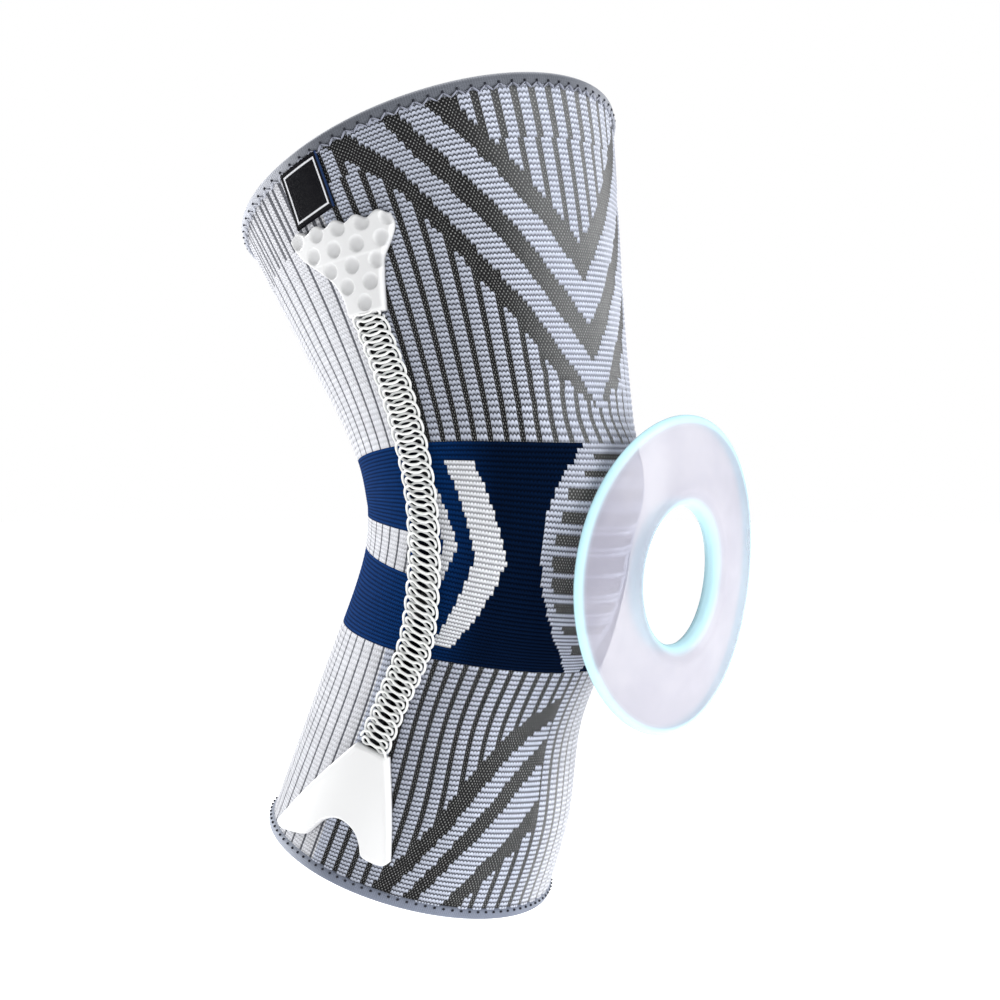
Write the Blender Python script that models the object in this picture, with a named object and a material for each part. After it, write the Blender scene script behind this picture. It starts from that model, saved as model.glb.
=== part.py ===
"""Knit knee sleeve with a side stay and a gel ring.

The sleeve is a ribbed knit tube that keeps the form of a slightly bent leg. A white stay, two
plates joined by a flat spring, runs down the shown side (-X), a small label hangs from the top
hem, and an oval gel ring leans on the front of the kneecap.

Metres, +Z up. The origin is on the leg's axis at the bend of the knee, and the kneecap faces -Y.
A place on the sleeve is given by two coordinates: turn, the angle round the leg from the
kneecap towards -X, and run, the distance along the leg's axis from the knee, positive upwards.
"""
import math

import bmesh
import bpy
import numpy as np

# Leg form
THIGH_LENGTH = 0.131        # knee to the top edge, along the axis
CALF_LENGTH = 0.137         # knee to the bottom edge
THIGH_LEAN = math.radians(17.0)
CALF_LEAN = math.radians(21.0)
BEND_REACH = 0.034          # half length of the curved stretch at the knee
THIGH_GIRTH = 0.464
KNEE_GIRTH = 0.305
CALF_GIRTH = 0.351
TOP_SLANT = 0.012           # how far the thigh's front reaches up past its middle
BOTTOM_SLANT = -0.002
AXIS_SPARE = 1.2            # the axis is worked out a little past both ends
AXIS_STEPS = 4001

# Sections of the sleeve. along: share of the thigh (+) or calf (-) length. swell: share of the
# way from the knee's girth to the end's girth. front, back: depth as a share of the radius.
SECTION_COLUMNS = ("along", "swell", "front", "back")
SECTIONS = (
    (-1.00, 1.00, 0.89, 0.95),
    (-0.75, 0.44, 0.99, 1.00),
    (-0.50, -0.08, 0.94, 1.04),
    (-0.25, -0.16, 1.04, 0.98),
    (0.00, 0.00, 0.99, 1.01),
    (0.25, 0.12, 1.02, 0.97),
    (0.60, 0.42, 1.02, 1.06),
    (1.00, 1.00, 0.90, 0.99),
)

# Gathered fold of knit above the kneecap
FOLD_RISE = 0.008
FOLD_RUN = 0.006
FOLD_REACH = 0.017
FOLD_TURN = math.radians(55.0)

# Knit
WALL = 0.0022
RIB_COUNT = 56
RIB_RISE = 0.0004           # crest and valley, out and in from the middle
BODY_ROWS = 17              # even rows down the outer face, closer over the fold
LINING_ROWS = 12
FOLD_ROWS = 7
FOLD_MARGIN = 1.15          # even rows keep this many reaches off the fold's middle

# Hems
HEM_HEIGHT = 0.0036
HEM_PROUD = 0.0005          # how far a hem stands out from the wall, on both faces
HEM_BELLY = 0.0005          # extra swell of its outer face
GAP = 0.0003                # between pieces that touch

# Round of a hem's section. face: 0 on the outer face, 1 on the inner. fall: share of the hem's
# height below its edge. belly: share of the outer face's swell.
HEM_COLUMNS = ("face", "fall", "belly")
HEM_SECTION = (
    (0.0, 1.00, 0.0),
    (0.0, 0.50, 1.0),
    (0.0, 0.12, 0.0),
    (0.5, 0.00, 0.0),
    (1.0, 0.12, 0.0),
    (1.0, 1.00, 0.0),
)

# Side label
LABEL_WIDTH = 0.0195
LABEL_HEIGHT = 0.0195
LABEL_THICK = 0.0008
LABEL_TURN = math.radians(88.3)
LABEL_SKEW = -0.10          # sideways run for each metre down
LABEL_STEPS = 6

# Side stay
STAY_THICK = 0.0032
SPRING_WIDTH = 0.0125
SPRING_THICK = 0.0040
SPRING_SEAT = 0.0004        # rise of the spring's underside over the knit
SPRING_END_GAP = 0.0012     # from its flat ends to the plates' slanted edges
SPRING_STEPS = 32
SPRING_SIDES = 8
PLATE_SEAT = 0.0004
LABEL_CLEARANCE = 0.0012    # label's lower edge to the upper plate's highest corner
FOOT_CLEARANCE = 0.0033     # lower plate's lowest corner to the bottom hem
PLATE_RIM = 0.40            # thickness share left at a plate's rounded rim
RIM_STEP = 0.04             # width of that rim, as a share of the plate
STAY_BOW_COLUMNS = ("up", "turn")
STAY_BOW = (                # up: share of the spring's length. turn: degrees
    (0.00, 77.2),
    (0.12, 75.2),
    (0.26, 73.2),
    (0.41, 77.0),
    (0.54, 80.8),
    (0.65, 82.2),
    (0.83, 82.6),
    (1.00, 84.2),
)

# Upper plate. up: share of its height. rear, fore: reach from its middle line to its edges,
# as shares of its width.
UPPER_WIDTH = 0.0425
UPPER_HEIGHT = 0.0325
UPPER_TILT = math.radians(-11.0)
UPPER_COLUMNS = ("up", "rear", "fore")
UPPER_EDGES = (
    (0.00, 0.18, 0.17),
    (0.25, 0.21, 0.19),
    (0.40, 0.27, 0.21),
    (0.55, 0.38, 0.24),
    (0.72, 0.52, 0.33),
    (0.88, 0.60, 0.385),
    (1.00, 0.63, 0.37),
)
UPPER_GRID = (14, 18)
SCALLOPS = 5
SCALLOP_RISE = 0.0009
SCALLOP_FADE = 6            # power with which the scallops die away below the top
DIMPLE_ROWS = 5
DIMPLE_PITCH = 0.0093
DIMPLE_ROW_RISE = 0.0066
DIMPLE_FIRST = (0.0008, 0.0038)
DIMPLE_DRIFT = -0.0011      # sideways step of each row's middle
DIMPLE_RADIUS = 0.0029
DIMPLE_DEPTH = 0.0011

# Lower plate: an A with an arched foot. across: share of its width from the middle line.
# drop: share of its height below its top.
LOWER_WIDTH = 0.054
LOWER_HEIGHT = 0.0440
LOWER_NECK = 0.0140
LOWER_GRID = (9, 20)
LOWER_COLUMNS = ("across", "drop")
LOWER_FOOT = (
    (-0.620, 0.97),
    (-0.560, 1.00),
    (-0.420, 0.955),
    (-0.300, 0.90),
    (-0.245, 0.82),
    (-0.175, 0.70),
    (-0.080, 0.635),
    (0.010, 0.635),
    (0.090, 0.68),
    (0.145, 0.76),
    (0.180, 0.83),
    (0.240, 0.85),
    (0.335, 0.845),
    (0.375, 0.79),
)

# Gel ring. reach: share of the way from the hole to the rim. front, back: shares of the thickness.
PAD_WIDTH = 0.0985
PAD_HEIGHT = 0.116
PAD_HOLE_WIDTH = 0.0385
PAD_HOLE_HEIGHT = 0.0500
PAD_THICK = 0.0090
PAD_ASIDE = 0.0280          # towards +X from the knee's middle
PAD_DROP = -0.0235
PAD_NOD = math.radians(6.0)  # the top tips forward
PAD_DISH = 0.0050           # how far the side edges curl back to the knee
PAD_GAP = 0.0004
PAD_STEPS = 36
SEAT_SAMPLES = (269, 181)   # places down and round the sleeve where the ring's seat is tried
PAD_COLUMNS = ("reach", "front", "back")
PAD_SECTION = (
    (0.00, 0.12, 0.12),
    (0.06, 0.42, 0.28),
    (0.20, 0.62, 0.38),
    (0.48, 0.50, 0.36),
    (0.80, 0.30, 0.28),
    (0.95, 0.18, 0.18),
    (1.00, 0.04, 0.04),
)

SHARP_ANGLE = math.radians(40.0)

# Colours: linear RGB, roughness, metallic
FINISHES = {
    "knit": ((0.47, 0.49, 0.58), 0.85, 0.0),
    "hem": ((0.40, 0.41, 0.50), 0.80, 0.0),
    "label": ((0.012, 0.012, 0.015), 0.60, 0.0),
    "stay": ((0.82, 0.83, 0.84), 0.45, 0.0),
    "spring": ((0.78, 0.80, 0.80), 0.35, 0.0),
    "gel": ((0.80, 0.82, 0.90), 0.20, 0.0),
}


def column(table, names, name):
    """One named column of a table, as an array."""
    return np.array([row[names.index(name)] for row in table])


def through(x, xs, ys):
    """Smooth curve through a table's points: cubic pieces that share their slopes."""
    slopes = np.gradient(ys, xs)
    x = np.clip(x, xs[0], xs[-1])
    k = np.clip(np.searchsorted(xs, x) - 1, 0, len(xs) - 2)
    h = xs[k + 1] - xs[k]
    t = (x - xs[k]) / h
    return ((2 * t**3 - 3 * t**2 + 1) * ys[k] + (t**3 - 2 * t**2 + t) * h * slopes[k]
            + (3 * t**2 - 2 * t**3) * ys[k + 1] + (t**3 - t**2) * h * slopes[k + 1])


def bell(x):
    """Smooth bump: 1 at 0, falling to 0 at -1 and 1."""
    return (1 - np.clip(np.abs(x), 0, 1)**2)**2


def axis_at(run):
    """Place and lean of the leg's axis at a distance from the knee.

    The lean turns smoothly from the calf's to the thigh's inside the bend and is constant
    outside it; the place is its running sum.
    """
    steps = np.linspace(-AXIS_SPARE * CALF_LENGTH, AXIS_SPARE * THIGH_LENGTH, AXIS_STEPS)
    x = np.clip(steps / BEND_REACH, -1, 1)
    lean = (THIGH_LEAN - CALF_LEAN) / 2 + (THIGH_LEAN + CALF_LEAN) / 2 * (1.5 * x - 0.5 * x**3)
    step = steps[1] - steps[0]
    y = np.concatenate([[0], np.cumsum((np.sin(lean[1:]) + np.sin(lean[:-1])) / 2 * step)])
    z = np.concatenate([[0], np.cumsum((np.cos(lean[1:]) + np.cos(lean[:-1])) / 2 * step)])
    y -= np.interp(0, steps, y)
    z -= np.interp(0, steps, z)
    return np.interp(run, steps, y), np.interp(run, steps, z), np.interp(run, steps, lean)


def section_at(run):
    """Mean radius, front share and back share of the sleeve's section."""
    along = np.where(run >= 0, run / THIGH_LENGTH, run / CALF_LENGTH)
    xs = column(SECTIONS, SECTION_COLUMNS, "along")
    swell, front, back = (through(along, xs, column(SECTIONS, SECTION_COLUMNS, name))
                          for name in SECTION_COLUMNS[1:])
    end = np.where(along >= 0, THIGH_GIRTH, CALF_GIRTH)
    radius = (KNEE_GIRTH + (end - KNEE_GIRTH) * swell) / (2 * math.pi)
    return radius, front, back


def on_sleeve(turn, run, proud=0.0):
    """Points over the sleeve's outer face, standing proud of the middle of its ribs."""
    turn, run, proud = np.broadcast_arrays(turn, run, proud)
    along = np.where(run >= 0, run / THIGH_LENGTH, run / CALF_LENGTH)
    radius, front, back = section_at(run)
    depth = np.where(np.cos(turn) >= 0, front, back) * radius
    from_front = (turn + math.pi) % (2 * math.pi) - math.pi
    fold = FOLD_RISE * bell((run - FOLD_RUN) / FOLD_REACH) * bell(from_front / FOLD_TURN)
    side = -(radius + fold + proud) * np.sin(turn)
    fore = -(depth + fold + proud) * np.cos(turn)
    slant = np.where(along >= 0, TOP_SLANT, BOTTOM_SLANT)
    y, z, lean = axis_at(run + slant * along**2 * np.cos(turn))
    return np.stack([side, y + fore * np.cos(lean), z - fore * np.sin(lean)], -1)


def beside(turn, run, across, along, tilt=0.0):
    """Turn and run of a place given by distances from a point, across (to the front) and up."""
    a = across * math.cos(tilt) - along * math.sin(tilt)
    b = across * math.sin(tilt) + along * math.cos(tilt)
    radius = section_at(run + b)[0]
    return turn - a / radius, run + b


def finish(name):
    """The material of one finish."""
    material = bpy.data.materials.get(name) or bpy.data.materials.new(name)
    material.use_nodes = True
    colour, roughness, metallic = FINISHES[name]
    shader = material.node_tree.nodes["Principled BSDF"]
    shader.inputs["Base Color"].default_value = (*colour, 1.0)
    shader.inputs["Roughness"].default_value = roughness
    shader.inputs["Metallic"].default_value = metallic
    return material


def solid(name, points, faces, finish_name, collection):
    """A named object from points and faces, closed and facing out."""
    mesh = bpy.data.meshes.new(name)
    mesh.from_pydata(points.reshape(-1, 3).tolist(), [], [[int(k) for k in face] for face in faces])
    bm = bmesh.new()
    bm.from_mesh(mesh)
    bmesh.ops.recalc_face_normals(bm, faces=bm.faces)
    bmesh.ops.triangulate(bm, faces=bm.faces)
    bm.to_mesh(mesh)
    bm.free()
    mesh.shade_smooth()
    mesh.set_sharp_from_angle(angle=SHARP_ANGLE)
    mesh.materials.append(finish(finish_name))
    item = bpy.data.objects.new(name, mesh)
    collection.objects.link(item)
    return item


def ring_faces(rows, count, first=0, close_rows=False):
    """Quads of a grid whose columns run round and close, row after row."""
    i, j = np.meshgrid(np.arange(rows if close_rows else rows - 1), np.arange(count), indexing="ij")
    a = i * count + j
    b = i * count + (j + 1) % count
    up = ((i + 1) % rows) * count
    return (np.stack([a, b, up + (j + 1) % count, up + j], -1).reshape(-1, 4) + first).tolist()


def slab(name, lower, upper, finish_name, collection):
    """A solid between two grids of points that match, with walls round their edge."""
    rows, cols = lower.shape[:2]
    i, j = np.meshgrid(np.arange(rows - 1), np.arange(cols - 1), indexing="ij")
    a = (i * cols + j).ravel()
    sheet = np.stack([a, a + 1, a + cols + 1, a + cols], -1)
    edge = np.concatenate([np.arange(cols), np.arange(2, rows + 1) * cols - 1,
                           np.arange(rows * cols - 2, (rows - 1) * cols - 1, -1),
                           np.arange(rows - 2, 0, -1) * cols])
    after = np.roll(edge, -1)
    total = rows * cols
    walls = np.stack([edge, after, after + total, edge + total], -1)
    faces = sheet.tolist() + (sheet[:, ::-1] + total).tolist() + walls.tolist()
    points = np.concatenate([lower.reshape(-1, 3), upper.reshape(-1, 3)])
    return solid(name, points, faces, finish_name, collection)


def soft_edged(count):
    """Shares from 0 to 1 with a narrow first and last step, for a rounded rim."""
    return np.concatenate([[0.0], np.linspace(RIM_STEP, 1 - RIM_STEP, count - 1), [1.0]])


def rim_share(rows, cols):
    """Thickness share of each point of a plate's grid: lower on its outermost points."""
    share = np.ones((rows, cols))
    share[0], share[-1], share[:, 0], share[:, -1] = (PLATE_RIM,) * 4
    return share


def rows_between(low, high, count):
    """Runs of a tube's rows: even ones, and closer ones where the fold is."""
    even = np.linspace(low, high, count)
    even = even[np.abs(even - FOLD_RUN) > FOLD_MARGIN * FOLD_REACH]
    return np.sort(np.concatenate([even, FOLD_RUN + FOLD_REACH * np.linspace(-1, 1, FOLD_ROWS)]))


def make_body(collection):
    """The knit tube: ribbed outside, smooth inside, open at both ends."""
    low = -CALF_LENGTH + HEM_HEIGHT + GAP
    high = THIGH_LENGTH - HEM_HEIGHT - GAP
    count = 2 * RIB_COUNT
    turns = np.arange(count) * 2 * math.pi / count
    ribs = np.where(np.arange(count) % 2 == 0, RIB_RISE, -RIB_RISE)
    outer = on_sleeve(turns[None, :], rows_between(low, high, BODY_ROWS)[:, None], ribs[None, :])
    inner = on_sleeve(turns[None, ::2], rows_between(low, high, LINING_ROWS)[:, None], -WALL)
    first = outer.shape[0] * count
    last = first + inner.shape[0] * RIB_COUNT
    faces = ring_faces(outer.shape[0], count) + ring_faces(inner.shape[0], RIB_COUNT, first)
    for base, lining in ((0, first), (first - count, last - RIB_COUNT)):
        for k in range(RIB_COUNT):
            a, b, c = (base + (2 * k + n) % count for n in range(3))
            near, far = lining + k, lining + (k + 1) % RIB_COUNT
            faces += [(a, b, near), (b, c, far), (b, far, near)]
    points = np.concatenate([outer.reshape(-1, 3), inner.reshape(-1, 3)])
    return solid("sleeve_body", points, faces, "knit", collection)


def make_hem(name, end, collection):
    """A rounded band round one opening; end is the run of its outer edge."""
    face, fall, belly = (column(HEM_SECTION, HEM_COLUMNS, key)[:, None] for key in HEM_COLUMNS)
    out = RIB_RISE + HEM_PROUD
    deep = -WALL - HEM_PROUD
    proud = out + (deep - out) * face + HEM_BELLY * belly
    run = end - math.copysign(HEM_HEIGHT, end) * fall
    turns = np.arange(RIB_COUNT) * 2 * math.pi / RIB_COUNT
    faces = ring_faces(len(HEM_SECTION), RIB_COUNT, close_rows=True)
    return solid(name, on_sleeve(turns, run, proud), faces, "hem", collection)


def label_foot():
    """Run of the label's lower edge."""
    return THIGH_LENGTH - HEM_HEIGHT - GAP - LABEL_HEIGHT


def make_label(collection):
    """The folded label under the top hem, leaning a little to the back."""
    across = np.linspace(-0.5, 0.5, LABEL_STEPS + 1)[None, :] * LABEL_WIDTH
    down = np.linspace(0, 1, LABEL_STEPS + 1)[:, None] * LABEL_HEIGHT
    turn, run = beside(LABEL_TURN, label_foot() + LABEL_HEIGHT, across + LABEL_SKEW * down, -down)
    base = RIB_RISE + GAP
    lower = on_sleeve(turn, run, base)
    upper = on_sleeve(turn, run, base + LABEL_THICK)
    return slab("side_label", lower, upper, "label", collection)


def upper_foot():
    """Run of the lower end of the upper plate, whose rear corner stops under the label."""
    corner = UPPER_WIDTH * UPPER_EDGES[-1][UPPER_COLUMNS.index("rear")]
    reach = UPPER_HEIGHT * math.cos(UPPER_TILT) - corner * math.sin(UPPER_TILT)
    return label_foot() - LABEL_CLEARANCE - reach


def lower_head():
    """Run of the upper end of the lower plate."""
    return -CALF_LENGTH + HEM_HEIGHT + FOOT_CLEARANCE + LOWER_HEIGHT


def stay_turn(share):
    """Turn of the stay's middle line at a share of the spring's length."""
    xs = column(STAY_BOW, STAY_BOW_COLUMNS, "up")
    return np.radians(through(np.asarray(share, float), xs, column(STAY_BOW, STAY_BOW_COLUMNS, "turn")))


def make_upper_plate(collection):
    """The dimpled plate: waisted sides, scalloped top, dimples in rows that grow upwards."""
    v = soft_edged(UPPER_GRID[0])[:, None]
    u = soft_edged(UPPER_GRID[1])[None, :]
    xs = column(UPPER_EDGES, UPPER_COLUMNS, "up")
    rear = -UPPER_WIDTH * through(v, xs, column(UPPER_EDGES, UPPER_COLUMNS, "rear"))
    fore = UPPER_WIDTH * through(v, xs, column(UPPER_EDGES, UPPER_COLUMNS, "fore"))
    across = rear + (fore - rear) * u
    up = v * UPPER_HEIGHT - v**SCALLOP_FADE * SCALLOP_RISE * np.cos(2 * math.pi * SCALLOPS * u)
    dent = np.zeros(across.shape)
    for row in range(DIMPLE_ROWS):
        for k in range(row + 1):
            x = DIMPLE_FIRST[0] + row * DIMPLE_DRIFT + (k - row / 2) * DIMPLE_PITCH
            y = DIMPLE_FIRST[1] + row * DIMPLE_ROW_RISE
            dent = np.maximum(dent, DIMPLE_DEPTH * bell(np.hypot(across - x, up - y) / DIMPLE_RADIUS))
    turn, run = beside(stay_turn(1.0), upper_foot(), across, up, UPPER_TILT)
    base = RIB_RISE + PLATE_SEAT
    thick = STAY_THICK * rim_share(*across.shape) - dent
    return slab("stay_upper_plate", on_sleeve(turn, run, base), on_sleeve(turn, run, base + thick),
                "stay", collection)


def make_lower_plate(collection):
    """The A-shaped plate: straight sides down to two feet with an arch between them."""
    v = soft_edged(LOWER_GRID[0])[:, None]
    u = soft_edged(LOWER_GRID[1])[None, :]
    drop = column(LOWER_FOOT, LOWER_COLUMNS, "drop")
    reach = column(LOWER_FOOT, LOWER_COLUMNS, "across")
    shares = np.linspace(0, 1, len(LOWER_FOOT))
    foot_across = LOWER_WIDTH * through(u, shares, reach)
    foot_up = -LOWER_HEIGHT * through(u, shares, drop)
    head_across = LOWER_NECK * (u - 0.5)
    across = foot_across + (head_across - foot_across) * v
    up = foot_up * (1 - v)
    turn, run = beside(stay_turn(0.0), lower_head(), across, up)
    base = RIB_RISE + PLATE_SEAT
    thick = STAY_THICK * rim_share(*across.shape)
    return slab("stay_lower_plate", on_sleeve(turn, run, base), on_sleeve(turn, run, base + thick),
                "stay", collection)


def make_spring(collection):
    """The band that the two flattened coils fill: an oval section along the stay's bow."""
    share = np.linspace(0, 1, SPRING_STEPS + 1)
    low = lower_head() + SPRING_END_GAP
    high = upper_foot() - SPRING_END_GAP
    run = low + (high - low) * share
    half = SPRING_THICK / 2
    part = math.pi / SPRING_SIDES
    around = (2 * np.arange(SPRING_SIDES) + 1) * part
    across = SPRING_WIDTH / 2 * np.cos(around) / math.cos(part)
    rise = RIB_RISE + SPRING_SEAT + half + half * np.sin(around) / math.cos(part)
    turn, level = beside(stay_turn(share)[:, None], run[:, None], across[None, :], 0.0)
    faces = ring_faces(SPRING_STEPS + 1, SPRING_SIDES)
    faces += [np.arange(SPRING_SIDES), np.arange(SPRING_SIDES) + SPRING_STEPS * SPRING_SIDES]
    return solid("stay_spring", on_sleeve(turn, level, rise[None, :]), faces, "spring", collection)


def pad_back(reach):
    """Depth of the gel ring's back face behind its middle surface."""
    return PAD_THICK * np.interp(reach, column(PAD_SECTION, PAD_COLUMNS, "reach"),
                                 column(PAD_SECTION, PAD_COLUMNS, "back"))


def pad_seat():
    """Y of the gel ring's middle that brings its back face to the knit, at PAD_GAP."""
    turn, run = np.meshgrid(np.linspace(-math.pi / 2, math.pi / 2, SEAT_SAMPLES[1]),
                            np.linspace(-CALF_LENGTH, THIGH_LENGTH, SEAT_SAMPLES[0]))
    x, y, z = np.moveaxis(on_sleeve(turn, run, RIB_RISE), -1, 0)
    u = (x - PAD_ASIDE) / (PAD_WIDTH / 2)
    w = (z - PAD_DROP) / math.cos(PAD_NOD)
    span = np.hypot(u, w / (PAD_HEIGHT / 2))
    angle = np.arctan2(w / (PAD_HEIGHT / 2), u)
    hole = np.hypot(PAD_HOLE_WIDTH / PAD_WIDTH * np.cos(angle), PAD_HOLE_HEIGHT / PAD_HEIGHT * np.sin(angle))
    reach = (span - hole) / (1 - hole)
    behind = PAD_DISH * u**2 - w * math.sin(PAD_NOD) + pad_back(np.clip(reach, 0, 1))
    under = (reach > 0) & (reach < 1.0)
    return float(np.min((y - behind)[under])) - PAD_GAP


def make_pad(collection):
    """The gel ring: an oval washer, thick round its hole and thin at its rim."""
    around = np.arange(PAD_STEPS) * 2 * math.pi / PAD_STEPS
    reach, front, back = (column(PAD_SECTION, PAD_COLUMNS, name) for name in PAD_COLUMNS)
    reach = np.concatenate([reach, reach[::-1]])[:, None]
    level = np.concatenate([-front, back[::-1]])[:, None] * PAD_THICK
    x = (PAD_HOLE_WIDTH + (PAD_WIDTH - PAD_HOLE_WIDTH) * reach) / 2 * np.cos(around)
    w = (PAD_HOLE_HEIGHT + (PAD_HEIGHT - PAD_HOLE_HEIGHT) * reach) / 2 * np.sin(around)
    y = level + PAD_DISH * (x / (PAD_WIDTH / 2))**2
    nod, lift = math.sin(PAD_NOD), math.cos(PAD_NOD)
    points = np.stack([PAD_ASIDE + x, pad_seat() + y * lift - w * nod, PAD_DROP + w * lift + y * nod], -1)
    return solid("gel_pad", points, ring_faces(len(reach), PAD_STEPS, close_rows=True), "gel", collection)


def main():
    """Clear the scene and make every piece in one collection."""
    for item in list(bpy.data.objects):
        bpy.data.objects.remove(item)
    collection = bpy.data.collections.new("knee_sleeve")
    bpy.context.scene.collection.children.link(collection)
    make_body(collection)
    make_hem("top_hem", THIGH_LENGTH, collection)
    make_hem("bottom_hem", -CALF_LENGTH, collection)
    make_label(collection)
    make_upper_plate(collection)
    make_spring(collection)
    make_lower_plate(collection)
    make_pad(collection)


main()
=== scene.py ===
"""Looks of a knit knee sleeve with a side stay and a gel ring.

The sleeve is one ribbed knit tube in three yarns, edged with two sewn bands. A white stay, two
moulded plates joined by two interlaced flat coils, runs down its shown side (-X), a small woven
label hangs from the top band, and a translucent gel ring leans on the front of the kneecap.

Metres, +Z up, kneecap towards -Y. A place on the sleeve has two coordinates: turn, the angle
round the leg from the kneecap towards -X, and run, the distance along the leg's axis from the
knee, positive upwards.
"""

import logging
import math
from dataclasses import dataclass
from enum import IntEnum
from functools import partialmethod
from typing import Any

import bmesh
import bpy
import numpy as np
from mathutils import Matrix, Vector


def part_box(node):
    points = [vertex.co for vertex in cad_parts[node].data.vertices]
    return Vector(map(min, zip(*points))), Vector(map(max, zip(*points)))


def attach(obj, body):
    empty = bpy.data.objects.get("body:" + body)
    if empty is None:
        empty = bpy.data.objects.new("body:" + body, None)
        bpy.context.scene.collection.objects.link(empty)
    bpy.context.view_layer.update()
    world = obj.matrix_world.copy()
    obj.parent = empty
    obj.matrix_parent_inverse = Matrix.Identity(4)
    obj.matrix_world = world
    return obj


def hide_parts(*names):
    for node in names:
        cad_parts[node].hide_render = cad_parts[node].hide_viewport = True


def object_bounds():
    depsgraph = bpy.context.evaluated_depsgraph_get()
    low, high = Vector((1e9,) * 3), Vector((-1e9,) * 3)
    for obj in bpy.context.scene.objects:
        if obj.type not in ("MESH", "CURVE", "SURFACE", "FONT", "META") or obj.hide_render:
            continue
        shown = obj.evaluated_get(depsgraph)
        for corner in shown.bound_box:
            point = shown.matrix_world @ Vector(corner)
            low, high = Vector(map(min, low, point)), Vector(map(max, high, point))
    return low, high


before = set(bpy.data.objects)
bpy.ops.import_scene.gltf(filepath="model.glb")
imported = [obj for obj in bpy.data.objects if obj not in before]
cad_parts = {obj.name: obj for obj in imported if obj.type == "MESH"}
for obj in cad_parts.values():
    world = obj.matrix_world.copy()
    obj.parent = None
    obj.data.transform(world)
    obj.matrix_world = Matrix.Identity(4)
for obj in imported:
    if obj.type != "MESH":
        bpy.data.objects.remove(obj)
CAD_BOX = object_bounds()
LOG = logging.getLogger("knee_sleeve")
Array = np.ndarray
Material = bpy.types.Material
Pair = tuple[float, float]
Colour = tuple[float, float, float]
Table = tuple[float, ...]
MM = 0.001


def through(x: Array, xs: Array, ys: Array) -> Array:
    """Smooth curve through a table's points: cubic pieces that share their slopes.

    Args:
        x: Where the curve is read, held to the table's ends.
        xs: The table's places, rising.
        ys: The table's values.

    Returns:
        The curve's values at x.
    """
    xs, ys = np.asarray(xs, float), np.asarray(ys, float)
    slopes = np.gradient(ys, xs)
    x = np.clip(x, xs[0], xs[-1])
    k = np.clip(np.searchsorted(xs, x) - 1, 0, len(xs) - 2)
    h = xs[k + 1] - xs[k]
    t = (x - xs[k]) / h
    return ((2 * t**3 - 3 * t**2 + 1) * ys[k] + (t**3 - 2 * t**2 + t) * h * slopes[k]
            + (3 * t**2 - 2 * t**3) * ys[k + 1] + (t**3 - t**2) * h * slopes[k + 1])


def bell(x: Array) -> Array:
    """Smooth bump: 1 at 0, falling to 0 at -1 and 1."""
    return (1 - np.clip(np.abs(x), 0, 1)**2)**2


def ease(x: Array, low: float, high: float) -> Array:
    """Smooth step from 0 at low to 1 at high; low may be the larger one."""
    t = np.clip((np.asarray(x, float) - low) / (high - low), 0, 1)
    return t * t * (3 - 2 * t)


def mixed(first: Array, second: Array, share: Array) -> Array:
    """Values between two others: the first at share 0, the second at 1."""
    return first + (second - first) * share


def circle(count: int, more: int = 0) -> Array:
    """Angles of a full turn in even steps from 0, and of some more steps past its end."""
    return np.arange(count + more) / count * 2 * math.pi


def inside(x: Array, y: Array, outline: tuple[Pair, ...]) -> Array:
    """Whether points lie inside an outline, by counting the edges that a ray crosses.

    Args:
        x: First coordinate of the points.
        y: Second coordinate of the points.
        outline: The outline's corners in order.

    Returns:
        True where a point is inside.
    """
    corners = np.array(outline, float)
    count = np.zeros(np.shape(x), int)
    for (xa, ya), (xb, yb) in zip(corners, np.roll(corners, -1, axis=0)):
        if ya != yb:
            crosses = (ya > y) != (yb > y)
            count += crosses & (x < xa + (y - ya) * (xb - xa) / (yb - ya))
    return count % 2 == 1


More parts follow.
